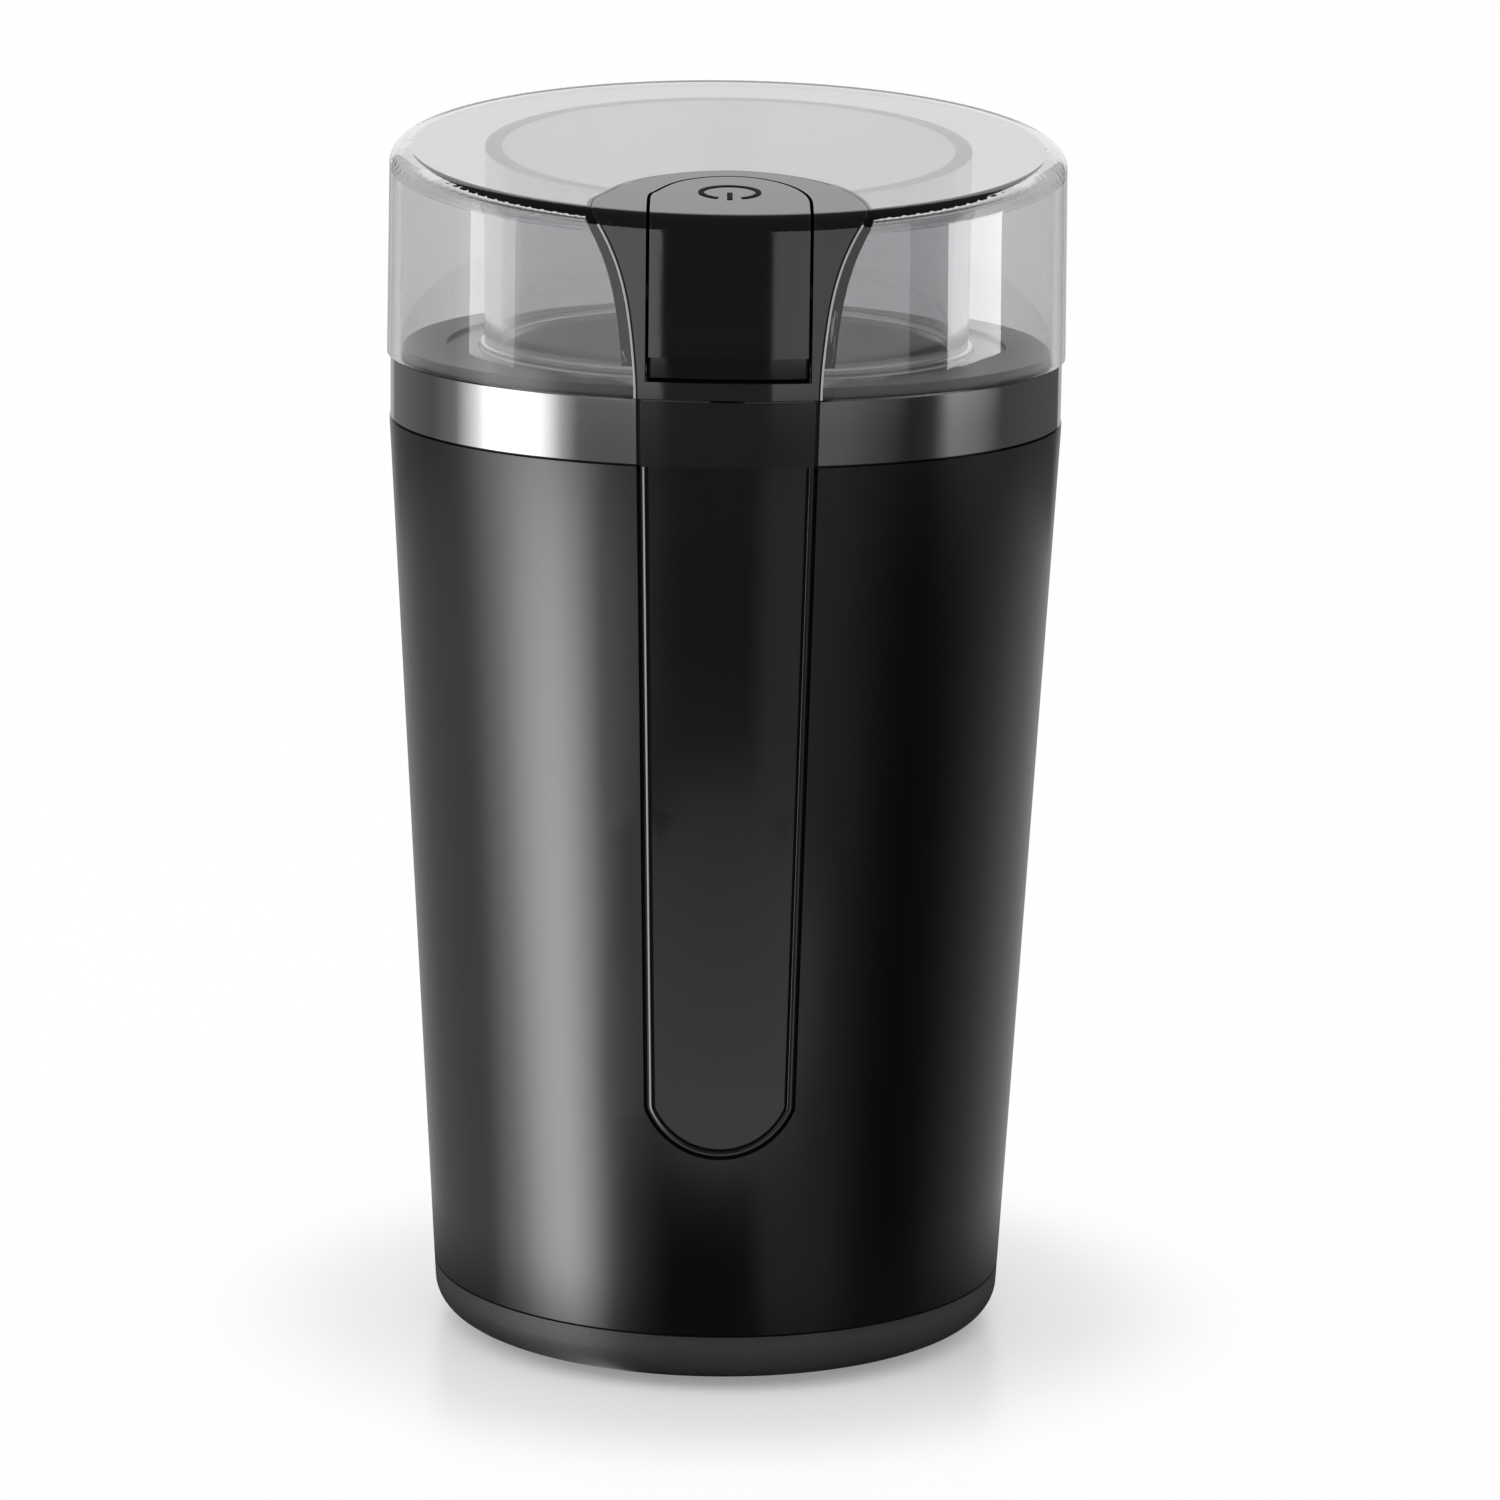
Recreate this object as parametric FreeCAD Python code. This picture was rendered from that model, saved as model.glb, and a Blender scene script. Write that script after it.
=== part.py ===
import FreeCAD, Part
import math
import os

V = FreeCAD.Vector
UP = V(0, 0, 1)

# Body heights: the origin is on the floor, under the middle of the base; the front looks along -Y
foot_stand = 1.5
seam_z = 9.0
band_z = 138.5
band_height = 9.7
lid_height_mid = 31.0

# Body radii: all follow the radius of the shell's top
body_radius_high = 50.05
body_taper = 6.85
band_step = 0.15
lid_step = 0.35
lid_draft = 0.4
body_radius_low = body_radius_high - body_taper
band_radius = body_radius_high - band_step
lid_radius_low = body_radius_high + lid_step
lid_radius_high = lid_radius_low - lid_draft
shell_wall = 1.2
frame_wall = 1.8
band_wall = 1.6
band_bevel = 0.3

# Lid
lid_slope_deg = 6.0
lid_wall = 1.8
lid_top_wall = 2.0
lid_edge_round = 3.0
skirt_wall = 2.5
skirt_inset = 0.6

# Button pod let into the front of the lid
pod_half_low = 12.9
pod_flare_even = 2.0
pod_flare_late = 4.6
pod_flare_power = 3.5
pod_flare_height = 24.3
pod_inset = 4.4
pod_centre_y = pod_inset - lid_radius_low
pod_depth_low = 9.0
pod_depth_high = 27.0
pod_wall = 1.6
pod_clear = 2.8
pod_sections = 7
rail_height = 2.4

# Button
button_half = 11.25
button_inset = 10.4
button_straight_y = button_inset - lid_radius_low
button_arch = 17.0
button_plate = 3.0
button_front_wall = 3.0
button_gap = 0.5
button_travel = 3.0
button_step = 1.5
button_step_height = 3.1
button_spring_x = 7.0
button_spring_inset = 16.9
button_spring_y = button_spring_inset - lid_radius_low
button_coil_radius = 1.8
button_turns = 3
spring_wire = 0.3
well_gap = 2.2
well_floor = 2.0
shaft_depth = 7.2
shaft_back = shaft_depth - lid_radius_low
tongue_radius = 2.5
tongue_gap = 0.15

# Front strip
strip_half_low = 10.4
strip_half_high = 12.4
strip_end_z = 36.7
strip_end_rise = 6.9
strip_gap = 0.6
strip_layer = 1.3
strip_flange = 2.0
strip_inset = 0.15

# Deck and bowl
deck_rise = 1.5
deck_gap = 0.6
deck_radius = lid_radius_low - lid_wall - deck_gap
deck_plate = 2.7
deck_rim = 6.4
deck_step_radius = deck_radius - deck_rim
deck_step = 0.6
deck_seat = 1.2
deck_shelf = 15.0
bowl_radius = deck_radius - deck_shelf
bowl_wall = 0.8
bowl_depth = 42.0
bowl_corner = 7.0
bowl_flange = 2.8
skirt_radius = bowl_radius + bowl_wall + bowl_flange - skirt_inset
gasket_height = 0.8
bush_radius = 6.0
tower_radius = 15.0
tower_height = 6.3
tower_wall = 3.0

# Motor
shaft_radius = 3.0
motor_gap = 14.2
stack_width = 2 * (body_radius_low - motor_gap)
stack_depth = 50.0
stack_height = 25.0
stack_bore = 18.0
air_gap = 0.6
core_slots = 12
upper_leg = 12.5
lower_leg = 21.5
bracket_plate = 3.0
mount_height = 4.0
mount_x = 25.0
mount_y = 12.0
fan_radius = 24.0
fan_height = 8.0
fan_clear = 3.0
fan_blades = 9
bearing_radius = 8.0
bearing_height = 6.0
commutator_radius = 9.0
commutator_height = 9.0
commutator_bars = 16

# Blade
blade_gap = 7.0
blade_radius = bowl_radius - blade_gap
blade_width = 11.0
blade_thick = 1.6
blade_twist_deg = 12.0
blade_lift = 3.5

# Switch gear
rod_radius = 2.0
rod_inset = 7.0
rod_y = rod_inset - deck_radius
rod_collar_radius = 3.1
rod_spring_length = 9.4
rod_coil_radius = 2.65
rod_turns = 5
rod_stand = 0.4
switch_length = 20.0
switch_width = 6.4
switch_height = 10.0
switch_drop = 18.3
lever_reach = 9.0
lever_angle_deg = 20.0
lever_thick = 0.5
lever_pin_radius = 0.5
plunger_reach = 4.0
plunger_radius = 1.0

# Fasteners, feet and the cord's inlet
foot_radius = 5.0
foot_inset = 13.2
foot_circle = body_radius_low - foot_inset
foot_seat = 1.0
foot_round = 0.5
base_floor = 2.5
base_round = 4.5
base_screw_inset = 9.2
base_screw_circle = body_radius_low - base_screw_inset
deck_screw_inset = 7.0
deck_screw_circle = deck_radius - deck_screw_inset
cord_z = 18.0
cord_bore = 3.3
gland_radius = 4.5
gland_length = 12.0
gland_lip = 1.5

# Clearances
touch = 0.05
plug_gap = 0.2
rail_gap = 0.4
slip = 0.1
fit = 0.3
run = 0.05
over = 1.0

# Levels worked out from the sizes above
lid_z = band_z + band_height
lid_bottom = lid_z + touch
deck_z = lid_z + deck_rise
seat_z = deck_z - deck_seat
rim_low_z = seat_z + gasket_height
rim_z = rim_low_z + bowl_wall
bowl_floor_z = rim_z - bowl_depth
tower_top = bowl_floor_z - bowl_wall
shelf_top = tower_top - tower_height
shelf_thick = 3.0
shelf_low = shelf_top - shelf_thick
upper_plate_z = shelf_low - mount_height - bracket_plate
stack_top = upper_plate_z - upper_leg
stack_low = stack_top - stack_height
lower_plate_top = stack_low - lower_leg
lower_plate_z = lower_plate_top - bracket_plate
fan_top = lower_plate_z - fan_clear
fan_low = fan_top - fan_height
cover_floor_top = foot_stand + base_floor


def body_radius(z):
    slope = (body_radius_high - body_radius_low) / (band_z - seam_z)
    return body_radius_low + slope * (z - seam_z)


# Plain solids

def rod(radius, z0, z1, x=0.0, y=0.0):
    return Part.makeCylinder(radius, z1 - z0, V(x, y, z0))


def ring(outer, inner, z0, z1, x=0.0, y=0.0):
    return rod(outer, z0, z1, x, y).cut(rod(inner, z0 - over, z1 + over, x, y))


def rod_along(axis, radius, length, start):
    return Part.makeCylinder(radius, length, start, axis)


def block(x0, x1, y0, y1, z0, z1):
    return Part.makeBox(x1 - x0, y1 - y0, z1 - z0, V(x0, y0, z0))


def body_cone(inset, z0, z1):
    return Part.makeCone(body_radius(z0) - inset, body_radius(z1) - inset, z1 - z0, V(0, 0, z0))


def turned_z(shape, degrees):
    turned = shape.copy()
    turned.rotate(V(0, 0, 0), UP, degrees)
    return turned


def joined(shapes):
    whole = shapes[0]
    for shape in shapes[1:]:
        whole = whole.fuse(shape)
    return whole.removeSplitter()


def group(shapes):
    return Part.makeCompound(shapes)


def round_edges(shape, radius, wanted):
    edges = [edge for edge in shape.Edges if wanted(edge.BoundBox)]
    return shape.makeFillet(radius, edges)


def polar(radius, degrees):
    angle = math.radians(degrees)
    return radius * math.cos(angle), radius * math.sin(angle)


screw_slot_half = 0.3


def pan_screw(shaft, length, head, head_height, x, y, seat, downward):
    # The head's flat face lies on the height seat; the shaft runs down or up from it
    low = seat if downward else seat - head_height
    slot_low = seat + head_height / 2 if downward else seat - head_height - over
    slot_high = slot_low + head_height / 2 + over
    cap = rod(head, low, low + head_height, x, y)
    stem = rod(shaft, seat - length, seat, x, y) if downward else rod(shaft, seat, seat + length, x, y)
    slot = block(x - head, x + head, y - screw_slot_half, y + screw_slot_half, slot_low, slot_high)
    return cap.fuse(stem).cut(slot)


def coil(mean_radius, wire, z0, z1, turns, x, y):
    # A compression spring: one tube along a helix of tangent arcs, with four pairs of arcs to a turn
    steps = turns * 4
    low = z0 + wire
    rise = (z1 - z0 - 2 * wire) / steps
    quarter = math.pi / 2

    def place(step):
        angle = step * quarter
        return V(x + mean_radius * math.cos(angle), y + mean_radius * math.sin(angle), low + rise * step)

    def heading(step):
        angle = step * quarter
        way = V(-mean_radius * quarter * math.sin(angle), mean_radius * quarter * math.cos(angle), rise)
        return way.normalize()

    edges = []
    for step in range(steps):
        edges += biarc(place(step), heading(step), place(step + 1), heading(step + 1))
    path = Part.Wire(edges)
    section = Part.Wire([Part.makeCircle(wire, place(0), heading(0))])
    return path.makePipeShell([section], True, False)


def biarc(start, start_way, end, end_way):
    span = end - start
    ways = start_way + end_way
    spread = 2 * (1 - start_way.dot(end_way))
    along = span.dot(ways)
    reach = (math.sqrt(along * along + spread * span.dot(span)) - along) / spread
    first = start + start_way * reach
    second = end - end_way * reach
    middle = (first + second) * 0.5
    return [corner_arc(start, first, middle), corner_arc(middle, second, end)]


def corner_arc(start, corner, end):
    # The arc from start to end that is tangent to both legs of the corner
    chord_mid = (start + end) * 0.5
    half_chord = (end - start).Length / 2
    lean = math.atan2((corner - chord_mid).Length, half_chord)
    top = chord_mid + (corner - chord_mid) * (math.tan(lean / 2) / math.tan(lean))
    return Part.Arc(start, top, end).toShape()


def wire_run(points, bend_radius, radius):
    # Straight runs joined by tangent arcs of one bend radius
    edges = []
    last = points[0]
    for before, corner, after in zip(points, points[1:], points[2:]):
        back = (before - corner).normalize()
        on = (after - corner).normalize()
        turn = math.pi - back.getAngle(on)
        cut = bend_radius * math.tan(turn / 2)
        edges.append(Part.LineSegment(last, corner + back * cut).toShape())
        edges.append(corner_arc(corner + back * cut, corner, corner + on * cut))
        last = corner + on * cut
    edges.append(Part.LineSegment(last, points[-1]).toShape())
    way = points[1] - points[0]
    section = Part.Wire([Part.makeCircle(radius, points[0], way)])
    return Part.Wire(edges).makePipeShell([section], True, False)


# Base

screw_angles = (0, 180, 270)
foot_angles = (45, 135, 225, 315)
screw_shaft = 1.5
screw_head = 3.0
screw_head_height = 1.8
boss_radius = 3.6
base_boss_low = 16.0
base_boss_high = 30.0
spigot_wall = 1.8
vent_count = 14
vent_inner = 13.0
vent_outer = 24.0
vent_half = 1.1
saddle_half = 9.0
saddle_inset = 8.7
saddle_width = 6.0
saddle_y1 = body_radius_low - saddle_inset
saddle_y0 = saddle_y1 - saddle_width
clamp_screw_x = 6.4
clamp_shaft = 1.2
base_screw_length = 20.0
base_screw_sunk = 0.4


def frame_inset():
    return shell_wall + fit


def base_cover():
    top = seam_z - fit
    low_radius = body_radius(foot_stand)
    body = Part.makeCone(low_radius, body_radius(top), top - foot_stand, V(0, 0, foot_stand))
    lowest = foot_stand + touch
    body = round_edges(body, base_round, lambda box: box.ZMax < lowest and box.XLength > low_radius)
    inner = body_radius(seam_z) - frame_inset() - frame_wall - fit
    spigot_top = cord_z - gland_radius - gland_lip - fit
    body = body.cut(rod(inner, cover_floor_top, top + over))
    body = body.fuse(ring(inner, inner - spigot_wall, cover_floor_top - over, spigot_top))
    under = foot_stand - over
    for angle in screw_angles:
        x, y = polar(base_screw_circle, angle)
        body = body.fuse(rod(boss_radius, cover_floor_top - over, base_boss_low, x, y))
        body = body.cut(rod(screw_shaft + slip, under, base_boss_low + over, x, y))
        body = body.cut(rod(screw_head + fit, under, foot_stand + screw_head_height, x, y))
    for angle in foot_angles:
        x, y = polar(foot_circle, angle)
        body = body.cut(rod(foot_radius + slip, under, foot_stand + foot_seat, x, y))
    for index in range(vent_count):
        body = body.cut(turned_z(vent_slot(under, cover_floor_top + over), 360 / vent_count * (index + 0.5)))
    saddle_top = cord_z - cord_bore - slip
    saddle = block(-saddle_half, saddle_half, saddle_y0, saddle_y1, cover_floor_top - over, saddle_top)
    body = body.fuse(saddle)
    for side in (-1, 1):
        x, y = clamp_place(side)
        body = body.cut(rod(clamp_shaft + slip, cover_floor_top + over, saddle_top + over, x, y))
    return body.removeSplitter()


def vent_slot(z0, z1):
    slot = block(vent_inner, vent_outer, -vent_half, vent_half, z0, z1)
    return joined([slot, rod(vent_half, z0, z1, vent_inner), rod(vent_half, z0, z1, vent_outer)])


def clamp_place(side):
    return side * clamp_screw_x, (saddle_y0 + saddle_y1) / 2


def feet():
    pads = []
    for angle in foot_angles:
        x, y = polar(foot_circle, angle)
        pad = rod(foot_radius, 0, foot_stand + foot_seat - touch, x, y)
        pads.append(round_edges(pad, foot_round, lambda box: box.ZMax < touch))
    return group(pads)


def base_screws():
    screws = []
    for angle in screw_angles:
        x, y = polar(base_screw_circle, angle)
        seat = foot_stand + screw_head_height
        height = screw_head_height - base_screw_sunk
        screws.append(pan_screw(screw_shaft, base_screw_length, screw_head, height, x, y, seat, False))
    return group(screws)


# Inner frame, outer shell and strip

deck_screw_angles = (90, 210, 330)
deck_screw_shaft = 1.25
deck_boss_radius = 3.2
ear_thick = 3.0
ear_half = 4.0
web_half = 1.2
deck_boss_reach = 18.5
deck_screw_length = 12.0
deck_screw_head = 2.6
deck_screw_head_height = 2.0
lead_hole_angle = 19.5
lead_inset = 12.0
lead_circle = deck_radius - lead_inset
lead_radius = 1.1
lead_hole = 2.2


def strip_half(z):
    side_z = strip_end_z + strip_end_rise
    return strip_half_low + (strip_half_high - strip_half_low) * (z - side_z) / (lid_z - side_z)


def strip_prism(grow, top):
    # The strip's outline in front view, pushed back through the front of the body
    side_z = strip_end_z + strip_end_rise
    face_y = -body_radius_high - 5 * over
    low = strip_half_low + grow
    high = strip_half(top) + grow
    low_left = V(-low, face_y, side_z)
    low_right = V(low, face_y, side_z)
    end = V(0, face_y, strip_end_z - grow)
    edges = [
        Part.LineSegment(V(high, face_y, top), V(-high, face_y, top)).toShape(),
        Part.LineSegment(V(-high, face_y, top), low_left).toShape(),
        Part.Arc(low_left, end, low_right).toShape(),
        Part.LineSegment(low_right, V(high, face_y, top)).toShape(),
    ]
    return Part.Face(Part.Wire(edges)).extrude(V(0, body_radius_high / 2, 0))


def outer_shell():
    tube = body_cone(0, seam_z, band_z).cut(body_cone(shell_wall, seam_z - over, band_z + over))
    tube = tube.cut(strip_prism(strip_gap, band_z + over))
    hole_start = V(0, 0, cord_z)
    return tube.cut(rod_along(V(0, 1, 0), gland_radius + slip, body_radius_high, hole_start))


def front_panel():
    face_top = lid_z - fit
    flange_top = band_z - over
    outline = strip_prism(0, face_top)
    low = body_cone(strip_inset, strip_end_z - over, band_z)
    low = low.cut(body_cone(strip_inset + strip_layer, strip_end_z - 2 * over, band_z + over))
    outer = band_radius - strip_inset + touch
    high = ring(outer, outer - strip_layer, band_z - touch, face_top)
    face = low.fuse(high).common(outline)
    back_in = shell_wall + fit
    flange = body_cone(back_in, strip_end_z - 3 * over, flange_top)
    flange = flange.cut(body_cone(back_in + frame_wall - fit, strip_end_z - 4 * over, flange_top + over))
    flange = flange.common(strip_prism(strip_flange, flange_top))
    neck = body_cone(strip_inset + over / 2, strip_end_z, flange_top)
    neck = neck.cut(body_cone(back_in + over / 2, strip_end_z - over, flange_top + over))
    neck = neck.common(strip_prism(-fit, flange_top))
    return joined([face, neck, flange])


def trim_ring():
    band = ring(band_radius, band_radius - band_wall, band_z + touch, lid_z)
    outer_edges = [edge for edge in band.Edges if edge.BoundBox.XLength > 2 * band_radius - touch]
    band = band.makeChamfer(band_bevel, outer_edges)
    return band.cut(strip_prism(strip_gap, lid_z + over))


def inner_frame():
    low = seam_z + fit
    high = band_z - fit
    inset = frame_inset()
    sleeve = body_cone(inset, low, high)
    sleeve = sleeve.cut(body_cone(inset + frame_wall, low - over, high + over))
    sleeve = sleeve.cut(strip_prism(strip_flange + fit, high + over))
    inside = body_cone(inset + frame_wall - touch, low, high)
    under = shelf_low - over
    above = shelf_top + over
    tower_bore = tower_radius - tower_wall
    shelf = rod(body_radius_high, shelf_low, shelf_top).common(inside).cut(rod(tower_bore, under, above))
    tower = ring(tower_radius, tower_bore, shelf_low, tower_top)
    cap = ring(tower_radius, bush_radius + slip, tower_top - tower_wall, tower_top)
    frame = joined([sleeve, shelf, tower, cap])
    for angle in screw_angles:
        x, y = polar(base_screw_circle, angle)
        web = block(base_screw_circle, body_radius_high, -web_half, web_half, base_boss_low, base_boss_high)
        web = turned_z(web, angle).common(inside)
        frame = frame.fuse(rod(boss_radius, base_boss_low, base_boss_high, x, y).fuse(web))
        frame = frame.cut(rod(screw_shaft + slip, base_boss_low - over, base_boss_high - over, x, y))
    ear_top = deck_boss_low()
    ear_low = ear_top - ear_thick
    ear_start = deck_screw_circle - ear_half
    for angle in deck_screw_angles:
        x, y = polar(deck_screw_circle, angle)
        ear = block(ear_start, body_radius_high, -ear_half, ear_half, ear_low, ear_top)
        frame = frame.fuse(turned_z(ear, angle).common(inside))
        frame = frame.cut(rod(deck_screw_shaft + slip, ear_low - over, ear_top + over, x, y))
    for x, y in mount_places():
        frame = frame.cut(rod(mount_shaft + slip, under, above, x, y))
    for side in (-1, 1):
        frame = frame.cut(rod(bracket_shaft + slip, under, above, side * bracket_screw_x, bracket_screw_y))
    x, y = polar(lead_circle, lead_hole_angle)
    frame = frame.cut(rod(lead_hole, under, above, x, y))
    hole = rod_along(V(0, 1, 0), gland_radius + slip, body_radius_high, V(0, 0, cord_z))
    return frame.cut(hole).removeSplitter()


def mount_places():
    return [(x, y) for x in (-mount_x, mount_x) for y in (-mount_y, mount_y)]


def deck_boss_low():
    return deck_z - deck_boss_reach


# Deck and bowl

pocket_half = 12.2
pocket_front = -deck_radius - over
pocket_inset = 10.2
pocket_back = pocket_inset - deck_radius
pocket_depth = 6.7
pocket_floor = 2.0
guide_radius = 4.4
guide_bore = 3.3
deck_skirt = 1.6
inner_bore_gap = 0.6
spigot_reach = 16.2
ledge_height = 1.8
collar_depth = 7.0


def deck():
    skirt_low = band_z - fit
    plate_low = deck_z - deck_plate
    spigot_low = deck_z - spigot_reach
    pocket_z = deck_z - pocket_depth
    tray_low = pocket_z - pocket_floor
    bore = bowl_radius + bowl_wall + inner_bore_gap
    plate = ring(deck_radius, bore, plate_low, deck_z)
    plate = plate.cut(rod(deck_step_radius, deck_z - deck_step, deck_z + over))
    plate = plate.cut(rod(bowl_radius + bowl_wall + bowl_flange + fit, seat_z, deck_z + over))
    outer = ring(deck_radius, deck_radius - deck_skirt, skirt_low, plate_low + over)
    inner = ring(bore + deck_skirt, bore, plate_low - collar_depth, plate_low + over)
    spigot_out = body_radius(spigot_low) - frame_inset() - frame_wall - fit
    ledge = ring(deck_radius, spigot_out - deck_skirt, skirt_low, skirt_low + ledge_height)
    spigot = ring(spigot_out, spigot_out - deck_skirt, spigot_low, skirt_low + over)
    side = pocket_half + deck_skirt
    tray = block(-side, side, pocket_front, pocket_back + deck_skirt, tray_low, plate_low + over)
    tray = tray.common(rod(deck_radius, skirt_low, deck_z))
    body = joined([plate, outer, inner, ledge, spigot, tray])
    pocket = block(-pocket_half, pocket_half, pocket_front - over, pocket_back, pocket_z, deck_z + over)
    body = body.cut(pocket)
    body = body.fuse(rod(guide_radius, guide_low(), tray_low + over / 2, 0, rod_y))
    body = body.cut(rod(guide_bore, guide_low() - over, tray_low, 0, rod_y))
    body = body.cut(rod(rod_radius + run, tray_low - over, pocket_z + over, 0, rod_y))
    boss_low = deck_boss_low()
    for angle in deck_screw_angles:
        x, y = polar(deck_screw_circle, angle)
        body = body.fuse(rod(deck_boss_radius, boss_low, plate_low + over / 2, x, y))
        body = body.cut(rod(deck_screw_shaft + slip, boss_low - over, boss_low + deck_screw_length, x, y))
    return body.removeSplitter()


def deck_screws():
    screws = []
    for angle in deck_screw_angles:
        x, y = polar(deck_screw_circle, angle)
        seat = deck_boss_low() - ear_thick
        screws.append(pan_screw(deck_screw_shaft, deck_screw_length, deck_screw_head,
                                deck_screw_head_height, x, y, seat, False))
    return group(screws)


def grinding_bowl():
    outer_radius = bowl_radius + bowl_wall
    outside = rod(outer_radius, tower_top, rim_z)
    outside = round_edges(outside, bowl_corner + bowl_wall, lambda box: box.ZMax < tower_top + touch)
    outside = outside.fuse(rod(outer_radius + bowl_flange, rim_low_z, rim_z))
    inside = rod(bowl_radius, bowl_floor_z, rim_z + over)
    inside = round_edges(inside, bowl_corner, lambda box: box.ZMax < bowl_floor_z + touch)
    return outside.cut(inside).cut(rod(bush_radius + slip, tower_top - over, rim_z))


def bowl_gasket():
    inner = bowl_radius + bowl_wall + inner_bore_gap
    return ring(bowl_radius + bowl_wall + bowl_flange, inner, seat_z, rim_low_z)


bush_flange = 8.5
bush_flange_height = 1.5
bush_length = 7.3
seal_lip = 0.4
bush_bore = 3.4
seal_radius = 4.6
seal_height = 3.0
nut_across = 18.0
nut_height = 3.0


def bowl_bush():
    top = bowl_floor_z + bush_flange_height
    low = tower_top - bush_length
    body = rod(bush_radius, low, bowl_floor_z).fuse(rod(bush_flange, bowl_floor_z, top))
    body = body.cut(rod(bush_bore, low - over, top + over))
    return body.cut(rod(seal_radius, top - seal_height, top + over)).removeSplitter()


def hex_prism(across, z0, z1):
    corner = across / math.sqrt(3)
    points = [V(*polar(corner, 60 * side), z0) for side in range(7)]
    return Part.Face(Part.makePolygon(points)).extrude(V(0, 0, z1 - z0))


def bush_nut():
    top = tower_top - tower_wall
    return hex_prism(nut_across, top - nut_height, top).cut(rod(bush_radius + slip, 0, top + over))


def shaft_seal():
    top = bowl_floor_z + bush_flange_height
    return ring(seal_radius - touch, shaft_radius + run, top - seal_height + touch, top + seal_lip)


# Rotor

blade_z = bowl_floor_z + blade_lift
stub_radius = 2.4
stub_length = 6.4
shaft_tail = 2.0
blade_hub = 7.5
wing_start = 6.4
nut_flat = 8.0
nut_flange = 5.2
nut_flange_height = 0.9
nut_body = 3.6
dome_radius = 4.0
dome_sink = 0.6


def drive_shaft():
    low = fan_low - shaft_tail
    shaft = rod(shaft_radius, low, blade_z)
    return shaft.fuse(rod(stub_radius, blade_z, blade_z + stub_length)).removeSplitter()


def blade():
    high = blade_z + blade_thick
    parts = [rod(blade_hub, blade_z, high)]
    for side in (0, 180):
        wing = block(wing_start, blade_radius, -blade_width / 2, blade_width / 2, blade_z, high)
        wing = wing.common(rod(blade_radius, blade_z - over, high + over))
        wing.rotate(V(0, 0, (blade_z + high) / 2), V(1, 0, 0), blade_twist_deg)
        parts.append(turned_z(wing, side))
    return joined(parts).cut(rod(stub_radius + touch, blade_z - 3 * over, high + 3 * over))


def blade_nut():
    low = blade_z + blade_thick
    high = low + nut_body
    dome = Part.makeSphere(dome_radius, V(0, 0, high - dome_sink))
    dome = dome.common(rod(dome_radius + over, high - touch, high + dome_radius))
    nut = joined([hex_prism(nut_flat, low, high), rod(nut_flange, low, low + nut_flange_height), dome])
    return nut.cut(rod(stub_radius + touch, low - over, blade_z + stub_length + touch))


core_radius = stack_bore - air_gap
winding_radius = 13.2
winding_over = 8.0
winding_hub = 4.0
winding_round = 2.5
slot_radius = 2.6
slot_depth = 4.4
slot_mouth_half = 0.8


def armature_core():
    low = stack_low - over
    high = stack_top + over
    core = ring(core_radius, shaft_radius + touch, stack_low, stack_top)
    centre = core_radius - slot_depth
    for index in range(core_slots):
        mouth = block(centre, core_radius + over, -slot_mouth_half, slot_mouth_half, low, high)
        slot = rod(slot_radius, low, high, centre).fuse(mouth)
        core = core.cut(turned_z(slot, 360 / core_slots * index))
    return core


def armature_windings():
    # Copper in the core's slots, and the end turns above and below it
    lowest = stack_low - winding_over
    highest = stack_top + winding_over
    low_end = ring(winding_radius, winding_hub, lowest, stack_low)
    high_end = ring(winding_radius, winding_hub, stack_top, highest)
    wide = 2 * winding_radius - over
    low_rim = lowest + touch
    high_rim = highest - touch
    low_end = round_edges(low_end, winding_round, lambda box: box.ZMax < low_rim and box.XLength > wide)
    high_end = round_edges(high_end, winding_round, lambda box: box.ZMin > high_rim and box.XLength > wide)
    parts = [low_end, high_end]
    for index in range(core_slots):
        bar = rod(slot_radius - slip, stack_low - touch, stack_top + touch, core_radius - slot_depth)
        parts.append(turned_z(bar, 360 / core_slots * index))
    return joined(parts)


commutator_gap = 0.5
riser_height = 1.6
riser_step = 1.4
bar_groove = 0.8
bar_gap_half = 0.25


def commutator_top():
    return stack_low - winding_over - commutator_gap


def commutator():
    top = commutator_top()
    low = top - commutator_height
    drum = ring(commutator_radius, shaft_radius + touch, low, top)
    drum = drum.fuse(ring(commutator_radius + riser_step, shaft_radius + touch, top - riser_height, top))
    inner = commutator_radius - bar_groove
    outer = commutator_radius + riser_step + over
    for index in range(commutator_bars):
        groove = block(inner, outer, -bar_gap_half, bar_gap_half, low - over, top + over)
        drum = drum.cut(turned_z(groove, 360 / commutator_bars * index))
    return drum


fan_hub = 7.0
fan_plate = 1.2
fan_vane_half = 0.6


def cooling_fan():
    wheel = rod(fan_hub, fan_low, fan_top).fuse(rod(fan_radius, fan_top - fan_plate, fan_top))
    start = fan_hub - over
    high = fan_top - fan_plate / 2
    for index in range(fan_blades):
        vane = block(start, fan_radius - touch, -fan_vane_half, fan_vane_half, fan_low, high)
        wheel = wheel.fuse(turned_z(vane, 360 / fan_blades * index))
    return wheel.cut(rod(shaft_radius + touch, fan_low - over, fan_top + over)).removeSplitter()


# Motor frame

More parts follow.
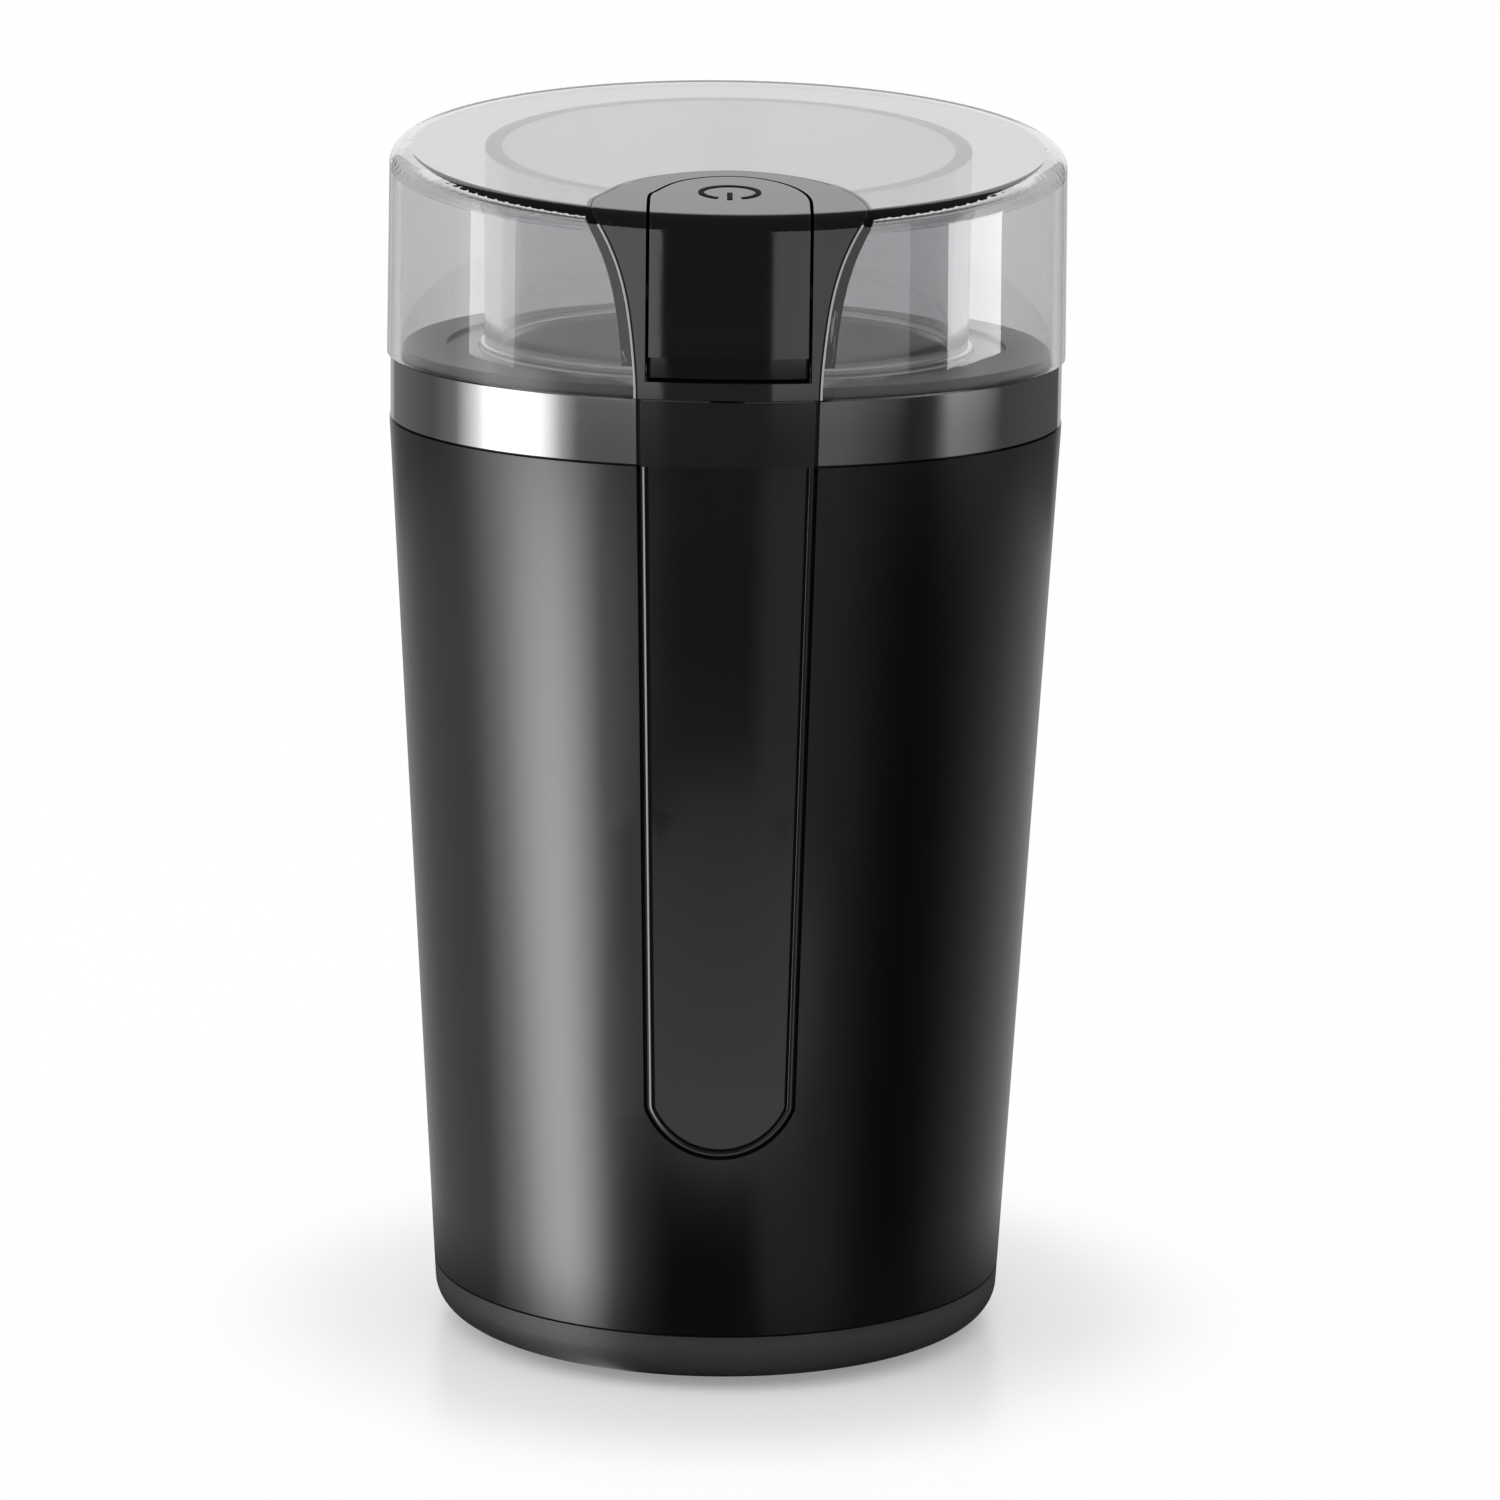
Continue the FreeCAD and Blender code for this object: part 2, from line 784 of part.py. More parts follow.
leg_wall = 4.6
leg_outer = stack_width / 2
leg_inner = leg_outer - leg_wall
leg_half = 9.0
motor_screw_x = leg_outer - leg_wall / 2
motor_screw_shaft = 1.5
boss_wall = 2.0
bearing_drop = 1.0
bearing_race = 1.6
bearing_core = 1.5
web_sink = 1.0
mount_margin = 5.0
mount_shaft = 1.5
mount_head = 2.4
mount_head_height = 1.8
grommet_radius = 4.2
motor_screw_head = 2.8
motor_screw_head_height = 2.0
stack_corner = 6.0
cross_half = 9.0
post_half = 4.0
post_depth = 8.0


def bearing_low(upper):
    return (upper_plate_z if upper else lower_plate_z) - bearing_drop


def bearing(upper):
    z0 = bearing_low(upper)
    z1 = z0 + bearing_height
    race = ring(bearing_radius, bearing_radius - bearing_race, z0, z1)
    core = ring(shaft_radius + bearing_core, shaft_radius + run, z0, z1)
    web = ring(bearing_radius - web_sink, shaft_radius + web_sink, z0 + web_sink, z1 - web_sink)
    return joined([race, core, web])


def upper_bracket():
    top = upper_plate_z + bracket_plate
    z0 = bearing_low(True)
    side_y = mount_y + mount_margin
    plate = block(-leg_outer, leg_outer, -side_y, side_y, upper_plate_z, top)
    cup = rod(bearing_radius + boss_wall, z0 - bearing_drop, z0 + bearing_height)
    legs = [leg(side, stack_top, upper_plate_z + over) for side in (-1, 1)]
    body = joined([plate, cup] + legs)
    body = body.cut(rod(bearing_radius + touch, z0, z0 + bearing_height + over))
    body = body.cut(rod(shaft_radius + over, z0 - 3 * over, z0 + over))
    for x, y in mount_places():
        body = body.cut(rod(mount_shaft + slip, stack_top - over, top + over, x, y))
    return with_motor_screw_holes(body, stack_top - over, top + over)


def leg(side, z0, z1):
    x0, x1 = sorted((side * leg_inner, side * leg_outer))
    return block(x0, x1, -leg_half, leg_half, z0, z1)


def with_motor_screw_holes(body, z0, z1):
    for side in (-1, 1):
        body = body.cut(rod(motor_screw_shaft + slip, z0, z1, side * motor_screw_x))
    return body


def lower_bracket():
    z0 = bearing_low(False)
    end = holder_outer + over
    plate = block(-leg_outer, leg_outer, -leg_half, leg_half, lower_plate_z, lower_plate_top)
    cross = block(-cross_half, cross_half, -end, end, lower_plate_z, lower_plate_top)
    cup = rod(bearing_radius + boss_wall, z0, z0 + bearing_height + over)
    parts = [plate, cross, cup]
    for side in (-1, 1):
        parts.append(leg(side, lower_plate_z + over, stack_low))
        y0, y1 = sorted((side * (holder_outer - post_depth), side * holder_outer))
        parts.append(block(-post_half, post_half, y0, y1, lower_plate_top - over, holder_low()))
    body = joined(parts)
    body = body.cut(rod(bearing_radius + touch, z0 - over, z0 + bearing_height))
    body = body.cut(rod(shaft_radius + over, z0, z0 + bearing_height + 3 * over))
    return with_motor_screw_holes(body, lower_plate_z - over, stack_low + over)


coil_leg = 5.7
coil_half = 20.0
coil_front = 14.6
coil_back = 20.6
coil_over = 7.0
coil_gap = 0.8
coil_round = 1.6


def coil_box(grow):
    # One field coil's space: a flat frame round the pole, standing in the slots of the stack
    half = coil_half + grow
    low = stack_low - coil_over - grow
    high = stack_top + coil_over + grow
    outer = block(-half, half, coil_front - grow, coil_back + grow, low, high)
    pole = coil_half - coil_leg - grow
    inner_low = stack_low - coil_gap + grow
    inner_high = stack_top + coil_gap - grow
    return outer.cut(block(-pole, pole, coil_front - 2 * over, coil_back + 2 * over, inner_low, inner_high))


def field_coils():
    deep = coil_back - coil_front - touch
    winding = round_edges(coil_box(0), coil_round, lambda box: box.YLength > deep)
    return group([turned_z(winding, side) for side in (0, 180)])


def stator_stack():
    half_x = stack_width / 2
    half_y = stack_depth / 2
    stack = block(-half_x, half_x, -half_y, half_y, stack_low, stack_top)
    stack = round_edges(stack, stack_corner, lambda box: box.ZLength > stack_height - touch)
    stack = stack.cut(rod(stack_bore, stack_low - over, stack_top + over))
    for side in (0, 180):
        stack = stack.cut(turned_z(coil_box(fit), side))
    return with_motor_screw_holes(stack, stack_low - over, stack_top + over)


def motor_screws():
    length = upper_plate_z + bracket_plate - lower_plate_z
    screws = []
    for side in (-1, 1):
        screws.append(pan_screw(motor_screw_shaft, length, motor_screw_head, motor_screw_head_height,
                                side * motor_screw_x, 0, lower_plate_z, False))
    return group(screws)


def motor_mounts():
    low = shelf_low - mount_height
    return group([ring(grommet_radius, mount_shaft + slip, low, shelf_low, x, y) for x, y in mount_places()])


def mount_screws():
    length = mount_height + bracket_plate + shelf_thick - slip
    screws = []
    for x, y in mount_places():
        screws.append(pan_screw(mount_shaft, length, mount_head, mount_head_height,
                                x, y, upper_plate_z, False))
    return group(screws)


# Brushes: they slide in brass boxes and are pushed onto the commutator by springs

holder_inner = 11.5
holder_outer = 29.0
brush_half = 2.6
brush_length = 11.0
holder_wall = 0.8
brush_rise = 0.8
brush_coil_radius = 1.6
brush_wire = 0.3
brush_turns = 5


def brush_z():
    return commutator_top() - commutator_height / 2 - brush_rise


def holder_low():
    return brush_z() - brush_half - holder_wall - slip


def front_and_back(piece):
    # The same piece on the front and the back of the motor
    return group([piece, turned_z(piece, 180)])


def brush_holders():
    z = brush_z()
    bore_half = brush_half + slip
    half = bore_half + holder_wall
    case = block(-half, half, holder_inner, holder_outer, z - half, z + half)
    bore_end = holder_outer - holder_wall
    bore = block(-bore_half, bore_half, holder_inner - over, bore_end, z - bore_half, z + bore_half)
    return front_and_back(case.cut(bore))


def carbon_brushes():
    z = brush_z()
    start = commutator_radius
    brush = block(-brush_half, brush_half, start, start + brush_length, z - brush_half, z + brush_half)
    drum = rod(commutator_radius + run, z - 2 * brush_half, z + 2 * brush_half)
    return front_and_back(brush.cut(drum))


def brush_springs():
    start = commutator_radius + brush_length + touch
    end = holder_outer - holder_wall - touch
    spring = coil(brush_coil_radius, brush_wire, 0, end - start, brush_turns, 0, 0)
    spring.rotate(V(0, 0, 0), V(1, 0, 0), -90)
    spring.translate(V(0, start, brush_z()))
    return front_and_back(spring)


# Lid

pod_start = 1.8
pod_swell_end = 0.7
pod_reach = 9.6
pod_front_y = -lid_radius_low - pod_reach
pod_column = 15.0
arch_points = 9
lid_headroom = 20.0
hollow_round = 1.5


def lid_plane_z(y):
    return lid_z + lid_height_mid + math.tan(math.radians(lid_slope_deg)) * y


def lid_high():
    return lid_z + lid_height_mid + lid_headroom


def under_plane(shape, drop):
    # Keeps what lies below the lid's sloped top, lowered by drop
    size = 4 * lid_radius_low
    knife = Part.makeBox(size, size, size, V(-size / 2, -size / 2, 0))
    knife.rotate(V(0, 0, 0), V(1, 0, 0), lid_slope_deg)
    knife.translate(V(0, 0, lid_z + lid_height_mid - drop))
    return shape.cut(knife)


def lid_form(inset, drop, corner, low):
    # The lid's outer form, or its hollow when it is inset
    high = lid_high()
    grade = (lid_radius_high - lid_radius_low) / lid_height_mid
    low_radius = lid_radius_low + grade * (low - lid_z) - inset
    high_radius = lid_radius_low + grade * (high - lid_z) - inset
    form = Part.makeCone(low_radius, high_radius, high - low, V(0, 0, low))
    form = under_plane(form, drop)
    level = lid_z + lid_height_mid / 2
    return round_edges(form, corner, lambda box: box.ZMin > level and box.XLength > lid_radius_low)


def lid_outside():
    return lid_form(0, 0, lid_edge_round, lid_bottom)


def lid_inside(gap):
    return lid_form(lid_wall + gap, lid_top_wall + gap, hollow_round, lid_bottom - over)


def arch_edge(half, depth, centre_y, z):
    # Half an ellipse, bulging to the back, as one smooth curve
    points = []
    for index in range(arch_points):
        angle = math.pi * index / (arch_points - 1)
        points.append(V(half * math.cos(angle), centre_y + depth * math.sin(angle), z))
    curve = Part.BSplineCurve()
    curve.interpolate(Points=points, InitialTangent=V(0, 1, 0), FinalTangent=V(0, -1, 0))
    return curve.toShape()


def arched_wire(half, depth, centre_y, z):
    # An arch with straight sides that run out through the front of the lid
    left = V(-half, centre_y, z)
    right = V(half, centre_y, z)
    front_left = V(-half, pod_front_y, z)
    front_right = V(half, pod_front_y, z)
    return Part.Wire([
        arch_edge(half, depth, centre_y, z),
        Part.LineSegment(left, front_left).toShape(),
        Part.LineSegment(front_left, front_right).toShape(),
        Part.LineSegment(front_right, right).toShape(),
    ])


def pod_wire(z, grow):
    # The pod widens gently, then quickly near its top
    step = min(max((z - lid_z - pod_start) / pod_flare_height, 0.0), 1.0)
    half = pod_half_low + pod_flare_even * step + pod_flare_late * step ** pod_flare_power + grow
    swell = math.sin(math.pi / 2 * min(step / pod_swell_end, 1.0))
    depth = pod_depth_low + (pod_depth_high - pod_depth_low) * swell + grow
    return arched_wire(half, depth, pod_centre_y, z)


def pod_form(grow):
    low = lid_z - over
    high = lid_z + pod_start + pod_flare_height
    levels = [low + (high - low) * index / (pod_sections - 1) for index in range(pod_sections)]
    flare = Part.makeLoft([pod_wire(z, grow) for z in levels], True, False)
    column = Part.Face(pod_wire(high, grow)).extrude(V(0, 0, pod_column))
    return flare.fuse(column)


def deck_clearance():
    # The pod and its pocket stop above the deck and the bowl's rim; only their front comes lower
    return rod(deck_radius + plug_gap, lid_bottom - 2 * over, deck_z + pod_clear)


def lid_shell():
    outer = lid_outside()
    hollow = lid_inside(0)
    pocket = pod_form(pod_wall + slip).common(hollow).common(outer).cut(deck_clearance())
    return outer.cut(hollow).fuse(pocket).cut(pod_form(slip))


def lid_inner_ring():
    low = rim_z + gasket_height + touch
    body = ring(skirt_radius, skirt_radius - skirt_wall, low, lid_high())
    return body.common(lid_inside(slip)).cut(pod_form(pod_wall + 2 * slip))


def lid_gasket():
    low = rim_z + touch
    return ring(skirt_radius - slip, skirt_radius - skirt_wall + slip, low, low + gasket_height)


def button_prism(grow, z0, z1):
    # The button's outline in plan: straight sides and an arched back
    outline = Part.Face(arched_wire(button_half + grow, button_arch + grow, button_straight_y, z0))
    return outline.extrude(V(0, 0, z1 - z0))


def in_front_of(y, z0, z1):
    half = button_half + over
    return block(-half, half, pod_front_y - over, y, z0, z1)


def plate_low_z():
    # The underside of the button's top plate, below the lowest part of the lid's top
    return lid_plane_z(-lid_radius_high) - lid_edge_round - button_plate + over


def well_low_z():
    return plate_low_z() - button_travel - well_gap


def tongue_low_z():
    return rod_top_z() + tongue_gap


def button_housing():
    high = lid_high()
    well_low = well_low_z()
    under = lid_bottom - 2 * over
    body = pod_form(0).common(lid_outside())
    body = body.cut(button_prism(button_gap, well_low, high))
    shaft = button_prism(button_gap, lid_bottom + rail_height, high)
    body = body.cut(shaft.common(in_front_of(shaft_back, under, high)))
    cavity = pod_form(-pod_wall).common(rod(lid_radius_low - lid_wall, under, well_low - well_floor))
    body = body.cut(cavity).cut(deck_clearance())
    return body.cut(rod(tongue_radius + fit, under, high, 0, rod_y))


def button():
    low = lid_bottom + rail_height + rail_gap
    plate_low = plate_low_z()
    body = button_prism(0, low, lid_high()).common(lid_outside())
    step_z = low + button_step_height
    step = ring(lid_radius_low + over, lid_radius_high - button_step, low - over, step_z)
    back_y = -lid_radius_high + button_front_wall + button_step
    inside_half = button_half + over
    hollow = block(-inside_half, inside_half, back_y, 0, low - over, plate_low)
    tongue = rod(tongue_radius, tongue_low_z(), plate_low + over, 0, rod_y)
    return body.cut(step).cut(hollow).fuse(tongue).removeSplitter()


def button_springs():
    low = well_low_z() + touch
    high = plate_low_z() - touch
    springs = []
    for side in (-1, 1):
        x = side * button_spring_x
        springs.append(coil(button_coil_radius, spring_wire, low, high, button_turns, x, button_spring_y))
    return group(springs)


# Switch gear under the button

bracket_screw_x = 9.0
bracket_screw_offset = 0.4
bracket_screw_y = rod_y + bracket_screw_offset
bracket_foot = 2.6
bracket_thick = 1.5
bracket_margin = 4.0
bracket_shaft = 1.0
bracket_head = 1.9
bracket_head_height = 1.1
switch_offset = 4.5
switch_back = rod_y + switch_offset
switch_end = 2.0
switch_hole_first = 3.2
switch_hole_pitch = 9.6
switch_hole_rise = 2.4
switch_screw = 1.0
switch_screw_head = 1.8
ear_wall = 1.0
ear_reach = 1.2
pivot_rise = 1.6
plunger_length = 5.6
plunger_pocket = 6.0
lever_half = 1.9
lever_end = 12.0
barrel_radius = 0.95
tab_first = 2.0
tab_pitch = 13.0
tab_width = 3.2
tab_length = 4.0
tab_half = 0.25
collar_height = 1.5
guide_cap = 1.7


def switch_low():
    return guide_low() - guide_cap - switch_drop


def switch_mid_y():
    return switch_back - switch_width / 2


def pivot_x():
    return -lever_reach


def pivot_z():
    return switch_low() + switch_height + pivot_rise


def rod_low_z():
    # The rod's round tip lies just clear of the sloping lever
    angle = math.radians(lever_angle_deg)
    reach = rod_radius + lever_thick / 2 + slip + lever_reach * math.sin(angle)
    return pivot_z() + reach / math.cos(angle) - rod_radius


def rod_top_z():
    return deck_z - pocket_depth + button_travel + rod_stand


def collar_z():
    return deck_z - pocket_depth - pocket_floor - slip


def guide_low():
    return collar_z() - collar_height - rod_spring_length


def push_rod():
    low = rod_low_z() + rod_radius
    body = rod(rod_radius, low, rod_top_z(), 0, rod_y)
    tip = Part.makeSphere(rod_radius, V(0, rod_y, low))
    collar = rod(rod_collar_radius, collar_z() - collar_height, collar_z(), 0, rod_y)
    return joined([body, tip, collar])


def rod_spring():
    low = guide_low() + touch
    high = collar_z() - collar_height - touch
    return coil(rod_coil_radius, spring_wire, low, high, rod_turns, 0, rod_y)


def rod_guide():
    return ring(guide_radius, rod_radius + run, guide_low() - guide_cap, guide_low(), 0, rod_y)


def switch_hole_places():
    first = pivot_x() + switch_hole_first
    return [(x, switch_low() + switch_hole_rise) for x in (first, first + switch_hole_pitch)]


def microswitch():
    low = switch_low()
    high = low + switch_height
    x0 = pivot_x() - switch_end
    y0 = switch_back - switch_width
    back = V(0, 1, 0)
    through = switch_width + 2 * over
    parts = [block(x0, x0 + switch_length, y0, switch_back, low, high)]
    for y in (y0, switch_back - ear_wall):
        parts.append(block(x0, pivot_x() + ear_reach, y, y + ear_wall, high - over, pivot_z() + ear_wall))
    body = joined(parts)
    body = body.cut(rod_along(back, lever_pin_radius + touch, through, V(pivot_x(), y0 - over, pivot_z())))
    plunger_x = pivot_x() + plunger_reach
    body = body.cut(rod(plunger_radius + run, high - plunger_pocket, high + over, plunger_x, switch_mid_y()))
    for x, z in switch_hole_places():
        body = body.cut(rod_along(back, switch_screw + slip, through, V(x, y0 - over, z)))
    for index in range(2):
        x = x0 + tab_first + index * tab_pitch
        y = switch_mid_y()
        body = body.fuse(block(x, x + tab_width, y - tab_half, y + tab_half, low - tab_length, low + over))
    return body.removeSplitter()


def switch_plunger():
    x = pivot_x() + plunger_reach
    top = pivot_z()
    body = rod(plunger_radius, top - plunger_length, top, x, switch_mid_y())
    return body.fuse(Part.makeSphere(plunger_radius, V(x, switch_mid_y(), top))).removeSplitter()


def lever_pin():
    start = V(pivot_x(), switch_back - switch_width, pivot_z())
    return rod_along(V(0, 1, 0), lever_pin_radius, switch_width, start)


def switch_lever():
    y0 = switch_mid_y() - lever_half
    y1 = switch_mid_y() + lever_half
    start = V(pivot_x(), y0, pivot_z())
    z0 = pivot_z() - lever_thick / 2
    barrel = rod_along(V(0, 1, 0), barrel_radius, y1 - y0, start)
    arm = block(pivot_x(), pivot_x() + lever_end, y0, y1, z0, z0 + lever_thick)
    arm.rotate(start, V(0, 1, 0), -lever_angle_deg)
    bore = rod_along(V(0, 1, 0), lever_pin_radius + run, y1 - y0 + 2 * over, start - V(0, over, 0))
    return barrel.fuse(arm).cut(bore).removeSplitter()


def switch_bracket():
    x0 = pivot_x() - bracket_margin
    x1 = x0 + switch_length + bracket_margin
    y1 = switch_back + bracket_thick
    wall = block(x0, x1, switch_back, y1, shelf_top, switch_low() + switch_height)
    foot = block(x0, x1, bracket_screw_y - bracket_foot, y1, shelf_top, shelf_top + bracket_thick)
    body = wall.fuse(foot)
    through = bracket_thick + 2 * over
    for x, z in switch_hole_places():
        body = body.cut(rod_along(V(0, 1, 0), switch_screw + slip, through, V(x, switch_back - over, z)))
    for side in (-1, 1):
        x = side * bracket_screw_x
        body = body.cut(rod(bracket_shaft + slip, shelf_top - over, shelf_top + through, x, bracket_screw_y))
    return body.removeSplitter()


def switch_screws():
    screws = []
    y0 = switch_back - switch_width
    back = V(0, 1, 0)
    for x, z in switch_hole_places():
        stem = rod_along(back, switch_screw, switch_width + bracket_thick, V(x, y0, z))
        head = rod_along(back, switch_screw_head, ear_wall, V(x, y0 - ear_wall, z))
        screws.append(stem.fuse(head).removeSplitter())
    return group(screws)


def bracket_screws():
    seat = shelf_top + bracket_thick
    length = bracket_thick + shelf_thick - slip
    screws = []
    for side in (-1, 1):
        screws.append(pan_screw(bracket_shaft, length, bracket_head, bracket_head_height,
                                side * bracket_screw_x, bracket_screw_y, seat, True))
    return group(screws)


# The cord's inlet and the wiring inside

gland_back = 2.9
gland_lock = 2.0
collar_width = 1.7
collar_sink = 2.2
collar_length = 4.0
groove_count = 3
groove_pitch = 1.5
groove_width = 0.7
groove_depth = 0.6
groove_start = 1.4
clamp_bar = 2.0
clamp_screw_length = 15.0
clamp_head = 2.3
clamp_head_height = 1.5


def cord_gland():
    back = V(0, 1, 0)
    y0 = body_radius(cord_z) - frame_inset() - frame_wall - gland_back
    end = y0 + gland_length
    stem = rod_along(back, gland_radius, gland_length, V(0, y0, cord_z))
    lock = rod_along(back, gland_radius + gland_lip, gland_lock, V(0, y0, cord_z))
    collar_start = V(0, body_radius(cord_z) - collar_sink, cord_z)
    collar = rod_along(back, gland_radius + collar_width, collar_length, collar_start)
    collar = collar.cut(body_cone(-touch, seam_z, band_z))
    body = joined([stem, lock, collar])
    for index in range(groove_count):
        start = V(0, end - groove_start - groove_pitch * index, cord_z)
        groove = rod_along(back, gland_radius + over, groove_width, start)
        body = body.cut(groove.cut(rod_along(back, gland_radius - groove_depth, groove_width, start)))
    return body.cut(rod_along(back, cord_bore, gland_length + 2 * over, V(0, y0 - over, cord_z)))


def cord_clamp():
    low = cord_z - cord_bore - slip
    high = cord_z + cord_bore + clamp_bar
    y0 = saddle_y0 - over
    y1 = saddle_y1 + over
    bar = block(-saddle_half, saddle_half, saddle_y0, saddle_y1, low, high)
    channel = rod_along(V(0, 1, 0), cord_bore, y1 - y0, V(0, y0, cord_z))
    bar = bar.cut(channel.fuse(block(-cord_bore, cord_bore, y0, y1, low - over, cord_z)))
    for side in (-1, 1):
        x, y = clamp_place(side)
        bar = bar.cut(rod(clamp_shaft + slip, low - over, high + over, x, y))
    return bar


def clamp_screws():
    seat = cord_z + cord_bore + clamp_bar
    screws = []
    for side in (-1, 1):
        x, y = clamp_place(side)
        screws.append(pan_screw(clamp_shaft, clamp_screw_length, clamp_head, clamp_head_height,
                                x, y, seat, True))
    return group(screws)


terminal_x = 16.0
terminal_y = 14.5
terminal_half = 9.0
terminal_depth = 8.0
terminal_height = 8.0
terminal_pitch = 5.6
terminal_hole = 1.7
terminal_floor = 3.0
lead_bend = 3.5
brush_lead_bend = 2.2
lead_rise = 6.0
lead_round_inset = 8.0
lead_round_radius = deck_radius - lead_round_inset
lead_round_angles = (-5, -28, -51)
lead_entry = 6.0
lead_tab_rise = 4.0
brush_lead_inset = 12.2
brush_lead_x = body_radius_low - brush_lead_inset
brush_lead_turn_x = 14.0
brush_lead_y = 34.0
brush_lead_offset = 2.6


def terminal_block():
    low = cover_floor_top
    y0 = terminal_y - terminal_depth / 2
    y1 = terminal_y + terminal_depth / 2
    body = block(terminal_x - terminal_half, terminal_x + terminal_half, y0, y1, low, low + terminal_height)
    for index in (-1, 0, 1):
        x = terminal_x + index * terminal_pitch
        body = body.cut(rod(terminal_hole, low + terminal_floor, low + terminal_height + over, x, terminal_y))
    return body


def lead_wires():
    # Two leads from the terminal block: one to the switch, one to a brush holder
    start_x = terminal_x + terminal_half + touch
    low = cover_floor_top + terminal_height / 2
    x, y = polar(lead_circle, lead_hole_angle)
    level = shelf_top + lead_rise
    end = V(pivot_x() - switch_end + switch_length + touch, switch_mid_y(), switch_low() + lead_tab_rise)
    points = [V(start_x, y, low), V(x, y, low), V(x, y, level)]
    points += [V(*polar(lead_round_radius, angle), level) for angle in lead_round_angles]
    points += [end + V(lead_entry, 0, 0), end]
    switch_lead = wire_run(points, lead_bend, lead_radius)
    y = terminal_y + brush_lead_offset
    height = brush_z()
    points = [V(start_x, y, low), V(brush_lead_x, y, low), V(brush_lead_x, y, height)]
    points += [V(brush_lead_turn_x, brush_lead_y, height), V(0, brush_lead_y, height)]
    points.append(V(0, holder_outer + touch, height))
    return group([switch_lead, wire_run(points, brush_lead_bend, lead_radius)])


NODES = {
    "feet": feet,
    "base_cover": base_cover,
    "base_screws": base_screws,
    "outer_shell": outer_shell,
    "front_panel": front_panel,
    "trim_ring": trim_ring,
    "inner_frame": inner_frame,
    "deck": deck,
    "deck_screws": deck_screws,
    "grinding_bowl": grinding_bowl,
    "bowl_gasket": bowl_gasket,
    "bowl_bush": bowl_bush,
    "bush_nut": bush_nut,
    "shaft_seal": shaft_seal,
    "blade": blade,
    "blade_nut": blade_nut,
    "drive_shaft": drive_shaft,
    "armature_core": armature_core,
    "armature_windings": armature_windings,
    "commutator": commutator,
    "cooling_fan": cooling_fan,
    "upper_bearing": lambda: bearing(True),
    "lower_bearing": lambda: bearing(False),
    "upper_bracket": upper_bracket,
    "lower_bracket": lower_bracket,
    "stator_stack": stator_stack,
    "field_coils": field_coils,
    "motor_screws": motor_screws,
    "motor_mounts": motor_mounts,
    "mount_screws": mount_screws,
    "brush_holders": brush_holders,
    "carbon_brushes": carbon_brushes,
    "brush_springs": brush_springs,
    "lid_shell": lid_shell,
    "lid_inner_ring": lid_inner_ring,
    "lid_gasket": lid_gasket,
    "button_housing": button_housing,
    "button": button,
    "button_springs": button_springs,
    "push_rod": push_rod,
    "rod_spring": rod_spring,
    "rod_guide": rod_guide,
    "microswitch": microswitch,
    "switch_plunger": switch_plunger,
    "lever_pin": lever_pin,
    "switch_lever": switch_lever,
    "switch_bracket": switch_bracket,
    "switch_screws": switch_screws,
    "bracket_screws": bracket_screws,
    "cord_gland": cord_gland,
    "cord_clamp": cord_clamp,
    "clamp_screws": clamp_screws,
    "terminal_block": terminal_block,
    "lead_wires": lead_wires,
}


def main():
    os.makedirs("parts", exist_ok=True)
    for name, build in NODES.items():
        shape = build()
        shape.exportStep(f"parts/{name}.step")
        volume = sum(solid.Volume for solid in shape.Solids)
        state = "valid" if shape.isValid() else "NOT VALID"
        print(name, len(shape.Solids), "solids", round(volume), "mm3", state)


main()
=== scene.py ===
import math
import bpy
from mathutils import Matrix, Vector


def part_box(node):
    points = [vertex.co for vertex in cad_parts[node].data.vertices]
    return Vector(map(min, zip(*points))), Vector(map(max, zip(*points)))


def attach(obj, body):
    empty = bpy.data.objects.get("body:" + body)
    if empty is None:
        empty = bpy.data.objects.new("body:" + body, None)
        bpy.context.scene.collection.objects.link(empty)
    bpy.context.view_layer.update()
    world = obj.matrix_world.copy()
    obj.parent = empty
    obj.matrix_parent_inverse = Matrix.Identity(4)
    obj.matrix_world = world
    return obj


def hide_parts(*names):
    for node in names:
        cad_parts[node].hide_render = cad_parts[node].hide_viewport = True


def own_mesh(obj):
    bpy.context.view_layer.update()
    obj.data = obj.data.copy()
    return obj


bl_info = {
    "name": "Spice grinder finish",
    "version": (1, 0, 0),
    "blender": (4, 5, 0),
    "location": "3D View > Sidebar > Grinder",
    "description": "Dresses the packed spice grinder with its finishes and fine pieces, and sets the stage",
    "category": "Object",
}

import bmesh
import bpy
from mathutils import Matrix, Vector

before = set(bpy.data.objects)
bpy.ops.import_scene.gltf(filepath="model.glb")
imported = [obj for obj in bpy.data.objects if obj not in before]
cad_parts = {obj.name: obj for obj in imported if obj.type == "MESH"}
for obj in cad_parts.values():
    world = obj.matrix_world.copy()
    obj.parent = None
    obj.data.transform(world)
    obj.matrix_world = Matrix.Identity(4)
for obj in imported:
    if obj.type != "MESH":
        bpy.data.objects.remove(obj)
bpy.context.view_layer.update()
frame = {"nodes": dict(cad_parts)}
NODES = frame["nodes"]


# Sizes and colours that a user would change


def length(name, description, default):
    """A size property, in metres."""
    return bpy.props.FloatProperty(name=name, description=description, default=default, unit="LENGTH")


def angle(name, description, degrees):
    return bpy.props.FloatProperty(
        name=name, description=description, default=math.radians(degrees), unit="ROTATION", subtype="ANGLE"
    )


def amount(name, description, default):
    return bpy.props.FloatProperty(name=name, description=description, default=default)


def count(name, description, default):
    return bpy.props.IntProperty(name=name, description=description, default=default, min=1)


def colour(name, description, value):
    return bpy.props.FloatVectorProperty(
        name=name, description=description, default=value, size=3, subtype="COLOR", min=0.0, max=1.0
    )


